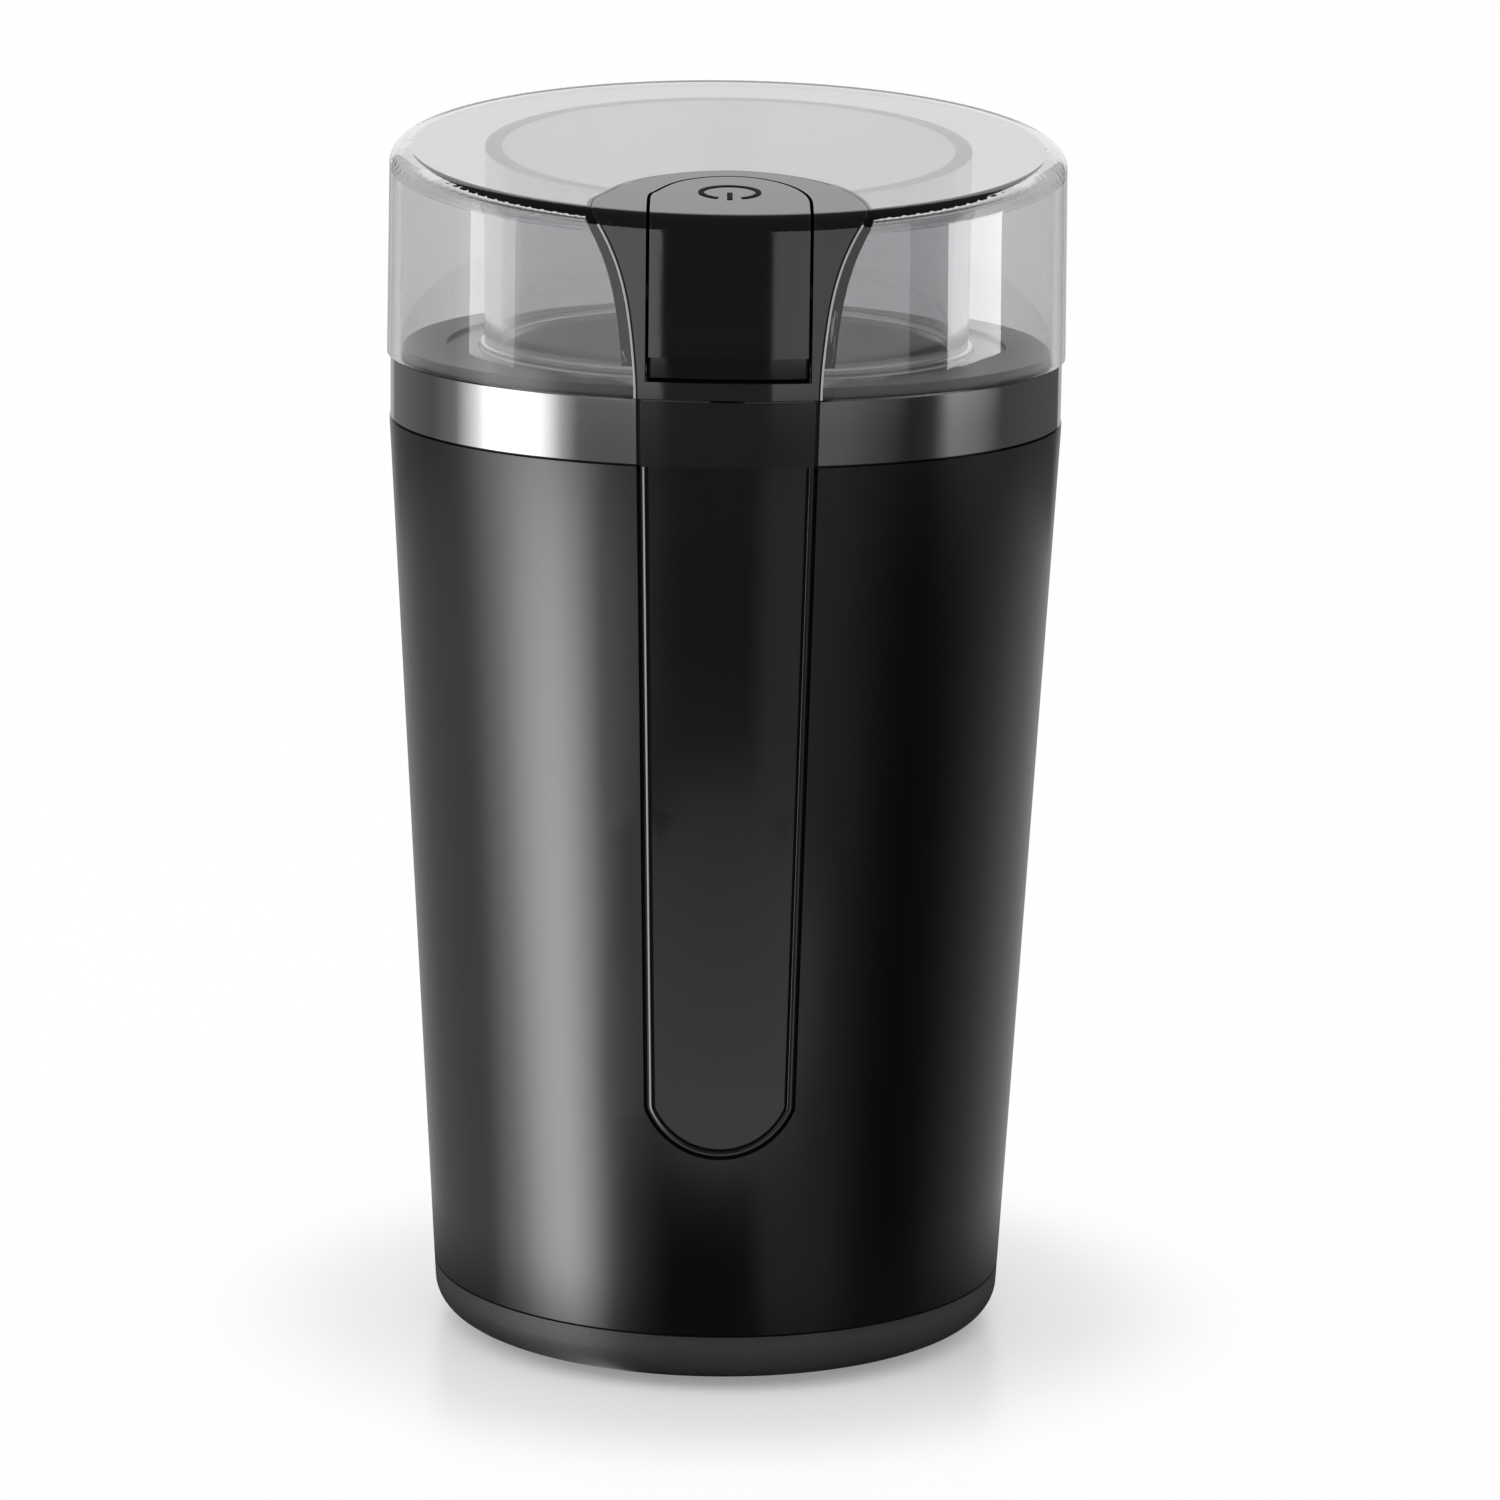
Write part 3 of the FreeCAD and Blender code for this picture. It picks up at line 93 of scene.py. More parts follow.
class GrinderColours(bpy.types.PropertyGroup):
    shell: colour("Shell", "Gloss paint of the tapered shell", (0.0012, 0.0012, 0.0012))
    strip: colour("Strip", "Satin plastic of the front strip", (0.007, 0.007, 0.007))
    pod: colour("Pod", "Gloss plastic of the button and its pod", (0.003, 0.003, 0.003))
    band: colour("Band", "Polished metal of the band", (0.5, 0.5, 0.51))
    base: colour("Base", "Matte plastic of the base cover", (0.028, 0.028, 0.03))
    deck: colour("Deck", "Satin plastic of the deck", (0.03, 0.03, 0.031))
    frame: colour("Frame", "Moulded plastic of the inner frame", (0.05, 0.05, 0.05))
    lid: colour("Lid", "Light smoke of the clear lid", (0.72, 0.72, 0.73))
    rubber: colour("Rubber", "Rubber of the feet, mounts and cord bush", (0.02, 0.02, 0.02))
    bowl: colour("Bowl", "Spun steel of the bowl", (0.66, 0.66, 0.67))
    blade: colour("Blade", "Ground steel of the blade", (0.6, 0.6, 0.61))
    zinc: colour("Zinc", "Zinc plate of the fasteners", (0.55, 0.55, 0.53))
    iron: colour("Iron", "Stacked sheet iron of the motor", (0.2, 0.2, 0.22))
    enamel: colour("Enamel", "Enamelled copper wire of the coils", (0.42, 0.13, 0.045))
    copper: colour("Copper", "Turned copper of the commutator", (0.78, 0.4, 0.25))
    brass: colour("Brass", "Stamped brass of the brush boxes", (0.72, 0.54, 0.24))
    bronze: colour("Bronze", "Sintered bronze of the bearings", (0.5, 0.34, 0.18))
    alloy: colour("Alloy", "Die-cast alloy of the upper bracket", (0.58, 0.58, 0.6))
    acetal: colour("Acetal", "White slippery plastic of the moving pins", (0.75, 0.75, 0.73))
    fan: colour("Fan", "Moulded plastic of the fan", (0.7, 0.69, 0.65))
    sheath: colour("Sheath", "Sheath of the leads", (0.4, 0.03, 0.025))
    # Painted shade: this near black stands in for the shade in the groove round the strip.
    groove: colour("Groove", "Depth of the groove round the strip", (0.001, 0.001, 0.001))
    # The same near black is the power mark's own print, and painted shade on the lips and linings beside the
    # button.
    mark: colour("Mark", "Power mark, and the lips and linings beside the button", (0.002, 0.002, 0.002))
    # Painted highlight: this light grey stands in for the light that the lid's clear cut edge catches beside
    # the pod.
    cut_edge_highlight: colour("Cut edge", "The lid's cut edges beside the pod", (0.32, 0.32, 0.33))
    silicone: colour("Silicone", "The lid's clear gasket", (0.85, 0.85, 0.86))
    gasket: colour("Gasket", "The bowl's gasket", (0.25, 0.25, 0.25))
    wire: colour("Wire", "Drawn and ground steel of the springs and the shaft", (0.5, 0.5, 0.51))
    lever: colour("Lever", "Spring steel of the switch's lever", (0.55, 0.55, 0.56))
    bracket: colour("Bracket", "Glass-filled plastic of the lower bracket", (0.06, 0.06, 0.06))
    carbon: colour("Carbon", "Pressed carbon of the brushes", (0.02, 0.02, 0.021))
    switch: colour("Switch", "Moulded case of the switch", (0.025, 0.025, 0.027))
    terminal: colour("Terminal", "Moulded terminal block", (0.8, 0.8, 0.77))


class GrinderSizes(bpy.types.PropertyGroup):
    mark_radius: length("Mark radius", "Radius of the power mark on the button", 0.0041)
    mark_line: length("Mark line", "Width of the mark's lines", 0.0008)
    mark_depth: length("Mark depth", "How far the mark stands proud of the button", 0.00012)
    bowl_corner: length("Bowl corner", "Inner radius between the bowl's wall and floor", 0.007)
    bowl_steps: count("Bowl steps", "Facets round the bowl", 192)
    strand: length("Strand", "Radius of the field coils' wire", 0.0004)
    strand_rows: count("Strand rows", "Wires across a field coil's section", 7)
    bead_width: length("Bead width", "Width of the raised edge round the strip", 0.0006)
    bead_height: length("Bead height", "How far the raised edge stands proud of the strip", 0.00021)
    groove_width: length("Groove width", "Width of the dark groove between the strip and its edge", 0.0004)
    lid_line: length("Lid line", "Radius of the bead along the lid's cut edge beside the pod", 0.00018)
    bristle: length("Grain", "Size of the moulded grain on matte plastic", 0.00025)


class GrinderStage(bpy.types.PropertyGroup):
    camera_x: length("Camera X", "Camera position to the right", 0.00426)
    camera_y: length("Camera Y", "Camera position along the view", -0.8553)
    camera_z: length("Camera Z", "Camera height", 0.26806)
    pitch: angle("Pitch", "How far the camera looks down", 11.91)
    roll: angle("Roll", "Turn of the camera about its view", 0.725)
    swing: angle("Swing", "How far the camera stands to the left of the front", 0.65)
    lens: amount("Lens", "Focal length in millimetres on a 36 mm sensor", 138.98)
    ambient: amount("Ambient", "Brightness of the room on matte surfaces", 0.97)


# Shader trees


def add(tree, kind, inputs=None, **settings):
    """Adds a node with its settings; an input may be a value or another node's socket."""
    made = tree.nodes.new(kind)
    for name, value in settings.items():
        setattr(made, name, value)
    for name, value in (inputs or {}).items():
        if isinstance(value, bpy.types.NodeSocket):
            tree.links.new(value, made.inputs[name])
        else:
            made.inputs[name].default_value = value
    return made


def maths(tree, operation, *values):
    """A sum on numbers or sockets that hold numbers."""
    return add(tree, "ShaderNodeMath", dict(enumerate(values)), operation=operation).outputs["Value"]


def vectors(tree, operation, *values):
    """A sum on vectors; a length comes out as a number."""
    made = add(tree, "ShaderNodeVectorMath", dict(enumerate(values)), operation=operation)
    return made.outputs["Value" if operation == "LENGTH" else "Vector"]


def rescaled(tree, value, low, high, to_low=0.0, to_high=1.0, **settings):
    """Maps low..high to to_low..to_high and holds the value there."""
    inputs = {"Value": value, "From Min": low, "From Max": high, "To Min": to_low, "To Max": to_high}
    return add(tree, "ShaderNodeMapRange", inputs, **settings).outputs["Result"]


def mixed(tree, share, first, second):
    """One colour fading into another."""
    made = add(tree, "ShaderNodeMix", {"Factor": share, "A": first, "B": second}, data_type="RGBA")
    return made.outputs["Result"]


def blended(tree, share, first, second):
    """One shader fading into another."""
    return add(tree, "ShaderNodeMixShader", {"Fac": share, 1: first, 2: second}).outputs["Shader"]


def bumped(tree, height, strength, depth):
    inputs = {"Height": height, "Strength": strength, "Distance": depth}
    return add(tree, "ShaderNodeBump", inputs).outputs["Normal"]


def own_place(tree):
    """Where a point lies on the piece, in metres."""
    return add(tree, "ShaderNodeTexCoord").outputs["Object"]


def split(tree, vector):
    return add(tree, "ShaderNodeSeparateXYZ", {"Vector": vector}).outputs


def joined(tree, parts):
    return add(tree, "ShaderNodeCombineXYZ", parts).outputs["Vector"]


def blank_material(name):
    material = bpy.data.materials.new(name)
    material.use_nodes = True
    material.node_tree.nodes.clear()
    return material, material.node_tree


def spread(tree, source, low, high):
    """Maps a texture's middle range to low..high."""
    return rescaled(tree, source, 0.3, 0.7, low, high)


def noise(tree, vector, size, detail=2.0):
    """Noise whose lumps are about this size in metres."""
    inputs = {"Vector": vector, "Scale": 0.5 / size, "Detail": detail}
    return add(tree, "ShaderNodeTexNoise", inputs).outputs["Fac"]


def place(tree, stretch=(1.0, 1.0, 1.0)):
    """Object coordinates, stretched."""
    return add(tree, "ShaderNodeMapping", {"Vector": own_place(tree), "Scale": stretch}).outputs["Vector"]


def turned_place(tree, around):
    """Object coordinates unrolled round the vertical axis, so that noise on them makes lathe lines."""
    parts = split(tree, own_place(tree))
    radius = vectors(tree, "LENGTH", joined(tree, {"X": parts["X"], "Y": parts["Y"]}))
    turn = maths(tree, "ARCTAN2", parts["Y"], parts["X"])
    along = maths(tree, "MULTIPLY", turn, around)
    return joined(tree, {"X": radius, "Y": along, "Z": parts["Z"]})


def shade(rgb, factor):
    return tuple(min(1.0, channel * factor) for channel in rgb) + (1.0,)


def tinted(tree, source, rgb, variety):
    """The colour, wandering up and down by a share of itself."""
    return mixed(tree, source, shade(rgb, 1.0 - variety), shade(rgb, 1.0 + variety))


def edge_worn(tree, tone, rgb, gain):
    """Lightens convex edges, where handling polishes them."""
    bend = add(tree, "ShaderNodeNewGeometry").outputs["Pointiness"]
    return mixed(tree, rescaled(tree, bend, 0.52, 0.62), tone, shade(rgb, gain))


def surface(tree, tone, roughness, normal, others):
    """Ends a material in its shader; the other sockets hold plain values."""
    sockets = {"Base Color": tone, "Roughness": roughness, "Normal": normal} | others
    shader = add(tree, "ShaderNodeBsdfPrincipled", sockets).outputs["BSDF"]
    add(tree, "ShaderNodeOutputMaterial", {"Surface": shader})


def plastic(name, rgb, roughness, grain, depth, variety=0.12, wear=1.5, specular=0.5):
    """Moulded plastic: fine grain in the surface, slow changes of tone and gloss, and polished edges."""
    material, tree = blank_material(name)
    vector = place(tree)
    fine = noise(tree, vector, grain, detail=3.0)
    slow = noise(tree, vector, size=0.012)
    tone = edge_worn(tree, tinted(tree, slow, rgb, variety), rgb, wear)
    gloss = spread(tree, slow, roughness * 0.9, roughness * 1.1)
    surface(tree, tone, gloss, bumped(tree, fine, 0.6, depth), {"Specular IOR Level": specular})
    return material


def metal(name, rgb, roughness, line, depth, around=0.002, variety=0.06, wear=1.15):
    """Turned or spun metal: fine lathe lines, with slow changes of tone and gloss."""
    material, tree = blank_material(name)
    lines = noise(tree, turned_place(tree, around), line, detail=3.0)
    slow = noise(tree, place(tree), size=0.015)
    tone = edge_worn(tree, tinted(tree, slow, rgb, variety), rgb, wear)
    gloss = spread(tree, lines, roughness * 0.92, roughness * 1.08)
    surface(tree, tone, gloss, bumped(tree, lines, 0.5, depth), {"Metallic": 1.0})
    return material


def rough_metal(name, rgb, roughness, grain, depth, stretch=(1.0, 1.0, 1.0), variety=0.12):
    """Cast, sintered, stamped or plated metal: grain, which stretch draws into brushing."""
    material, tree = blank_material(name)
    fine = noise(tree, place(tree, stretch), grain, detail=4.0)
    slow = noise(tree, place(tree), size=0.008)
    tone = edge_worn(tree, tinted(tree, slow, rgb, variety), rgb, 1.2)
    gloss = spread(tree, fine, roughness * 0.8, roughness * 1.2)
    surface(tree, tone, gloss, bumped(tree, fine, 0.6, depth), {"Metallic": 1.0})
    return material


def laminated(name, rgb):
    """Stacked sheet iron: a fine line between each pair of sheets."""
    material, tree = blank_material(name)
    thickness, line = 0.0005, 0.00012
    sheet = maths(tree, "PINGPONG", split(tree, own_place(tree))["Z"], thickness)
    solid = rescaled(tree, sheet, 0.0, line)
    slow = noise(tree, place(tree), size=0.006)
    tone = mixed(tree, solid, shade(rgb, 0.35), tinted(tree, slow, rgb, 0.15))
    surface(tree, tone, spread(tree, slow, 0.38, 0.5), bumped(tree, solid, 0.8, 0.0001), {"Metallic": 1.0})
    return material


def clear(name, rgb, roughness, ior):
    """Clear plastic with a light smoke tint and the faint flow of moulding in it."""
    material, tree = blank_material(name)
    flow = noise(tree, place(tree), size=0.02, detail=1.0)
    gloss = spread(tree, flow, roughness * 0.5, roughness)
    normal = bumped(tree, flow, 0.15, 0.0002)
    surface(tree, tinted(tree, flow, rgb, 0.015), gloss, normal, {"IOR": ior, "Transmission Weight": 1.0})
    return material


def dress(material, *names):
    """Gives CAD nodes their finish."""
    for name in names:
        slots = NODES[name].data.materials
        slots.clear()
        slots.append(material)


# Meshes grown from trees


def new_tree(name, inputs):
    """A geometry tree with a geometry input, named inputs and a geometry output, and its given sockets."""
    tree = bpy.data.node_groups.new(name, "GeometryNodeTree")
    tree.interface.new_socket(name="Geometry", in_out="INPUT", socket_type="NodeSocketGeometry")
    for title, kind in inputs.items():
        tree.interface.new_socket(name=title, in_out="INPUT", socket_type=kind)
    tree.interface.new_socket(name="Geometry", in_out="OUTPUT", socket_type="NodeSocketGeometry")
    return tree, add(tree, "NodeGroupInput").outputs


def close_tree(tree, geometry, material):
    """Ends a tree in smooth, real faces with their finish."""
    whole = add(tree, "GeometryNodeRealizeInstances", {"Geometry": geometry}).outputs["Geometry"]
    smooth = add(tree, "GeometryNodeSetShadeSmooth", {"Geometry": whole}).outputs["Geometry"]
    dressed = add(tree, "GeometryNodeSetMaterial", {"Geometry": smooth, "Material": material})
    add(tree, "NodeGroupOutput", {"Geometry": dressed.outputs["Geometry"]})
    return tree


def curve_of(tree, mesh):
    return add(tree, "GeometryNodeMeshToCurve", {"Mesh": mesh}).outputs["Curve"]


def circle(tree, radius, steps):
    inputs = {"Resolution": steps, "Radius": radius}
    return add(tree, "GeometryNodeCurvePrimitiveCircle", inputs).outputs["Curve"]


def swept(tree, path, section, capped=False):
    inputs = {"Curve": path, "Profile Curve": section, "Fill Caps": capped}
    return add(tree, "GeometryNodeCurveToMesh", inputs).outputs["Mesh"]


def put(name, data):
    """Links a new object with this data into the scene."""
    made = bpy.data.objects.new(name, data)
    bpy.context.scene.collection.objects.link(made)
    return made


def grow(name, tree, values, start, material):
    """Runs a tree on the start mesh and keeps the result as a plain, closed mesh that faces outwards."""
    piece = put(name, start)
    modifier = piece.modifiers.new("Tree", "NODES")
    modifier.node_group = tree
    for item in tree.interface.items_tree:
        if item.in_out == "INPUT" and item.name in values:
            modifier[item.identifier] = values[item.name]
    bpy.context.view_layer.update()
    evaluated = piece.evaluated_get(bpy.context.evaluated_depsgraph_get())
    mesh = bpy.data.meshes.new_from_object(evaluated)
    piece.modifiers.clear()
    piece.data = mesh
    seal(mesh)
    mesh.materials.clear()
    mesh.materials.append(material)
    if not mesh.polygons:
        raise RuntimeError(f"{name} came out empty")
    return piece


def seal(mesh):
    """Merges doubles and turns every face outwards."""
    shape = bmesh.new()
    shape.from_mesh(mesh)
    bmesh.ops.remove_doubles(shape, verts=shape.verts, dist=1e-6)
    bmesh.ops.recalc_face_normals(shape, faces=shape.faces)
    shape.to_mesh(mesh)
    shape.free()


def polyline(name, points, closed):
    """A mesh of edges from point to point."""
    mesh = bpy.data.meshes.new(name)
    edges = [(i, i + 1) for i in range(len(points) - 1)]
    if closed:
        edges.append((len(points) - 1, 0))
    mesh.from_pydata(points, edges, [])
    return mesh


def piece_of(shape, name, material):
    """Turns a finished bmesh into a piece."""
    mesh = bpy.data.meshes.new(name)
    shape.to_mesh(mesh)
    shape.free()
    mesh.materials.append(material)
    return put(name, mesh)


def seat(piece, body, slot, *replaced):
    """Lets a piece ride its body and hides the nodes that it stands for; its finish's slot is not used."""
    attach(piece, body)
    if replaced:
        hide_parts(*replaced)
    return piece


def smooth_by_angle(mesh, degrees):
    """Shades faces smooth and marks the edges that turn by more than this as sharp."""
    limit = math.radians(degrees)
    mesh.shade_smooth()
    shape = bmesh.new()
    shape.from_mesh(mesh)
    for edge in shape.edges:
        edge.smooth = len(edge.link_faces) == 2 and edge.calc_face_angle(0.0) < limit
    shape.to_mesh(mesh)
    shape.free()


def arc(centre_r, centre_z, radius, start, end, steps):
    """Points along an arc, from one angle in degrees to another."""
    points = []
    for step in range(steps + 1):
        turn = math.radians(start + (end - start) * step / steps)
        points.append((centre_r + radius * math.cos(turn), centre_z + radius * math.sin(turn)))
    return points


def lathe_tree(material):
    """Sweeps a half-section round the vertical axis."""
    tree, given = new_tree("Lathe", {"Steps": "NodeSocketInt", "Radius": "NodeSocketFloat"})
    ring = circle(tree, given["Radius"], given["Steps"])
    return close_tree(tree, swept(tree, ring, curve_of(tree, given["Geometry"])), material)


def lathe(name, section, steps, material):
    """A closed solid of revolution from its half-section, given as radius and height."""
    path = 0.02
    start = polyline(name + "_section", [(radius - path, -height, 0.0) for radius, height in section], True)
    piece = grow(name, lathe_tree(material), {"Steps": steps, "Radius": path}, start, material)
    smooth_by_angle(piece.data, 35.0)
    return piece


def rim(node, keep):
    """The longest run of a node's edge where its outward face meets its sides, as points in order."""
    shape = bmesh.new()
    shape.from_mesh(NODES[node].data)
    bmesh.ops.remove_doubles(shape, verts=shape.verts, dist=1e-6)
    links = {}
    for edge in shape.edges:
        if len(edge.link_faces) != 2:
            continue
        facing = sorted(outward(face) for face in edge.link_faces)
        middle = (edge.verts[0].co + edge.verts[1].co) / 2
        if facing[0] < 0.6 and facing[1] > 0.93 and keep(middle):
            for one, other in (edge.verts, reversed(edge.verts)):
                links.setdefault(one.index, []).append(other.index)
    places = [vert.co.copy() for vert in shape.verts]
    shape.free()
    runs = []
    unseen = set(links)
    while unseen:
        ends = [index for index in unseen if len(links[index]) == 1]
        run = [ends[0] if ends else min(unseen)]
        unseen.discard(run[0])
        step = [index for index in links[run[0]] if index in unseen]
        while step:
            run.append(step[0])
            unseen.discard(step[0])
            step = [index for index in links[step[0]] if index in unseen]
        runs.append(run)
    if not runs:
        raise RuntimeError(f"no rim found on {node}")
    return [places[index] for index in max(runs, key=len)]


def outward(face):
    """How squarely a face looks away from the vertical axis."""
    middle = face.calc_center_median()
    return face.normal.dot(Vector((middle.x, middle.y, 0.0)).normalized())


def bead_tree(holder, material):
    """Sweeps the holder's section along a path on the round body; its first axis points out of the loop."""
    tree, given = new_tree("Bead", {"Inset": "NodeSocketFloat", "Step": "NodeSocketFloat"})
    path = {"Curve": curve_of(tree, given["Geometry"]), "Length": given["Step"]}
    even = add(tree, "GeometryNodeResampleCurve", path, mode="LENGTH").outputs["Curve"]
    spot = add(tree, "GeometryNodeInputPosition").outputs["Position"]
    radial = vectors(tree, "NORMALIZE", vectors(tree, "MULTIPLY", spot, (1.0, 1.0, 0.0)))
    along = add(tree, "GeometryNodeInputTangent").outputs["Tangent"]
    across = vectors(tree, "CROSS_PRODUCT", radial, along)
    back = maths(tree, "MULTIPLY", given["Inset"], -1.0)
    shift = add(tree, "ShaderNodeVectorMath", {0: across, "Scale": back}, operation="SCALE").outputs["Vector"]
    moved = add(tree, "GeometryNodeSetPosition", {"Geometry": even, "Offset": shift}).outputs["Geometry"]
    turned = {"Curve": moved, "Normal": across}
    held = add(tree, "GeometryNodeSetCurveNormal", turned, mode="FREE").outputs["Curve"]
    section = curve_of(tree, add(tree, "GeometryNodeObjectInfo", {"Object": holder}).outputs["Geometry"])
    return close_tree(tree, swept(tree, held, section, capped=True), material)


def bead(name, points, section, inset, material):
    """Sweeps a section along points; its first axis points out of the loop, its second off the body."""
    outline = polyline(name, [(x, y, 0.0) for x, y in section], True)
    holder = bpy.data.objects.new(name + "_section", outline)
    start = polyline(name + "_path", [tuple(point) for point in points], False)
    values = {"Inset": inset, "Step": 0.0008}
    piece = grow(name, bead_tree(holder, material), values, start, material)
    bpy.data.objects.remove(holder)
    smooth_by_angle(piece.data, 50.0)
    return piece


# The strip's face: its radius at its foot, the foot's height, its flare, and where its sides end
STRIP_RADIUS, STRIP_FOOT, STRIP_FLARE, STRIP_TOP = 0.0442, 0.0367, 0.0393, 0.1383


def strip_bead(sizes, gloss, dark):
    """The raised edge round the strip, sloped towards the outside, and inside it a flat dark sheet, painted
    shade where the groove lies.
    """

    def on_face(middle):
        face_radius = STRIP_RADIUS + STRIP_FLARE * (middle.z - STRIP_FOOT)
        return middle.z < STRIP_TOP and math.hypot(middle.x, middle.y) > face_radius - 0.0005

    points = rim("front_panel", on_face)
    if points[0].x < 0:
        points.reverse()
    half, tall = sizes.bead_width / 2, sizes.bead_height
    section = [(-half, -tall), (-half, tall * 0.7), (-half * 0.9, tall * 0.95), (-half * 0.75, tall)]
    section += [(half, -tall * 0.65), (half, -tall)]
    inset = half * 1.2
    seat(bead("strip_bead", points, section, inset, gloss), "housing", "strip_satin")
    # The groove is a thin dark sheet on the strip's face, painted shade.
    wide, thin = sizes.groove_width / 2, sizes.bead_height * 0.3
    groove = [(-wide, -thin), (-wide, thin), (wide, thin), (wide, -thin)]
    seat(bead("strip_groove", points, groove, inset + half + wide, dark), "housing", "strip_satin")


# The pod's side edges: how far from the middle, above which height and in front of which y they lie
POD_SIDE, POD_FOOT, POD_BACK = 0.0125, 0.1485, -0.04


def lid_lines(sizes, bright, dark):
    """Two beads along each side of the pod: the lid's cut edge in a light grey, a painted highlight, and a
    dark lip of painted shade.
    """
    size, lip_reach = sizes.lid_line, 0.0022
    turns = [math.pi / 5 * step for step in range(10)]
    round_edge = [(size * math.cos(turn), size * math.sin(turn)) for turn in turns]
    half, front = size * 0.6, size * 0.3
    lip = [(-half, -lip_reach), (half, -lip_reach), (half, front), (-half, front)]
    for side, name in ((-1, "left"), (1, "right")):

        def beside(middle):
            return side * middle.x > POD_SIDE and middle.z > POD_FOOT and middle.y < POD_BACK

        points = rim("button_housing", beside)
        if (points[0].z > points[-1].z) == (side < 0):
            points.reverse()
        # The cut edge's bead carries a painted highlight.
        seat(bead("lid_edge_" + name, points, round_edge, -size * 1.2, bright), "lid", "lid_clear")
        # The lip is a dark sheet of painted shade beside the pod.
        seat(bead("pod_lip_" + name, points, lip, size * 0.4, dark), "lid", "pod_gloss_black")


def shade_well(dark):
    """Dark sheets of painted shade at the sides of the well that the button slides in, and one behind its
    foot.
    """
    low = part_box("lid_shell")[0].z
    side, thick, front, back = 0.0116, 0.00014, -0.0485, -0.0438
    sill, top = low + 0.00245, low + 0.0068
    hem, edge, near, far = low + 0.0017, 0.01155, -0.0449, -0.0447
    boxes = {
        "well_lining_left": ((-side - thick, front, sill), (-side, back, top)),
        "well_lining_right": ((side, front, sill), (side + thick, back, top)),
        "well_curtain": ((-edge, near, hem), (edge, far, top)),
    }
    for name, corners in boxes.items():
        shape = bmesh.new()
        bmesh.ops.create_cube(shape, size=1.0)
        for vert in shape.verts:
            vert.co = Vector(corners[vert.co[axis] > 0][axis] for axis in range(3))
        seat(piece_of(shape, name, dark), "lid", "pod_gloss_black")


def spring_tree(material):
    """Stands a spring of round wire on each point."""
    names = ("Turns", "Radius", "Height", "Wire")
    tree, given = new_tree("Spring", dict.fromkeys(names, "NodeSocketFloat"))
    spots = add(tree, "GeometryNodeMeshToPoints", {"Mesh": given["Geometry"]}).outputs["Points"]
    coil = {"Resolution": 28, "Rotations": given["Turns"], "Height": given["Height"]}
    coil |= {"Start Radius": given["Radius"], "End Radius": given["Radius"]}
    helix = add(tree, "GeometryNodeCurveSpiral", coil).outputs["Curve"]
    wound = swept(tree, helix, circle(tree, given["Wire"], 10), capped=True)
    placed = add(tree, "GeometryNodeInstanceOnPoints", {"Points": spots, "Instance": wound})
    return close_tree(tree, placed.outputs["Instances"], material)


# The springs' wire as a radius, and how far the button and its rod press them, with a little room
SPRING_WIRE, PRESS = 0.0003, 0.0031


def spring(name, node, sides, turns, body, material):
    """Replaces a node's springs, which stand at x = side, by wound wire."""
    low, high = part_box(node)
    wire, tall, middle = SPRING_WIRE, high.z - low.z, (low.y + high.y) / 2
    spots = bpy.data.meshes.new(name + "_spots")
    spots.from_pydata([(side, middle, low.z + wire) for side in sides], [], [])
    values = {"Turns": turns, "Radius": (high.y - low.y) / 2 - wire, "Height": tall - 2 * wire, "Wire": wire}
    piece = grow(name, spring_tree(material), values, spots, material)
    seat(piece, body, "spring_steel", node)
    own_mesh(piece)


def strand_tree(material):
    """Sweeps round wire along every polyline."""
    tree, given = new_tree("Strands", {"Wire": "NodeSocketFloat"})
    wires = swept(tree, curve_of(tree, given["Geometry"]), circle(tree, given["Wire"], 8))
    return close_tree(tree, wires, material)


def wind_coils(sizes, material):
    """The two field coils, wound strand by strand round the stator's poles."""
    low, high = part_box("field_coils")
    wire, rows = sizes.strand, sizes.strand_rows
    leg, deep, end = 0.0057, 0.006, 0.0062
    bend, bend_steps = 0.0034, 5
    shares = [row / (rows - 1) - 0.5 for row in range(rows)]
    points, edges = [], []
    for side in (-1, 1):
        for share in shares:
            out = share * (leg - 2 * wire)
            half_x = high.x - leg / 2 + out
            half_z = (high.z - low.z - end) / 2 + share * (end - 2 * wire)
            turn_radius = bend + out
            for layer in shares:
                depth = side * (high.y - deep / 2 + layer * (deep - 2 * wire))
                first = len(points)
                for corner, (sx, sz) in enumerate(((1, 1), (-1, 1), (-1, -1), (1, -1))):
                    centre = sx * (half_x - turn_radius), sz * (half_z - turn_radius)
                    start = 90.0 * corner
                    for x, z in arc(*centre, turn_radius, start, start + 90.0, bend_steps):
                        points.append((x, depth, (low.z + high.z) / 2 + z))
                loop = list(range(first, len(points)))
                edges += zip(loop, loop[1:] + loop[:1])
    paths = bpy.data.meshes.new("coil_paths")
    paths.from_pydata(points, edges, [])
    piece = grow("wound_coils", strand_tree(material), {"Wire": wire}, paths, material)
    seat(piece, "housing", "copper_enamel", "field_coils")


# Operators: one for each group of pieces


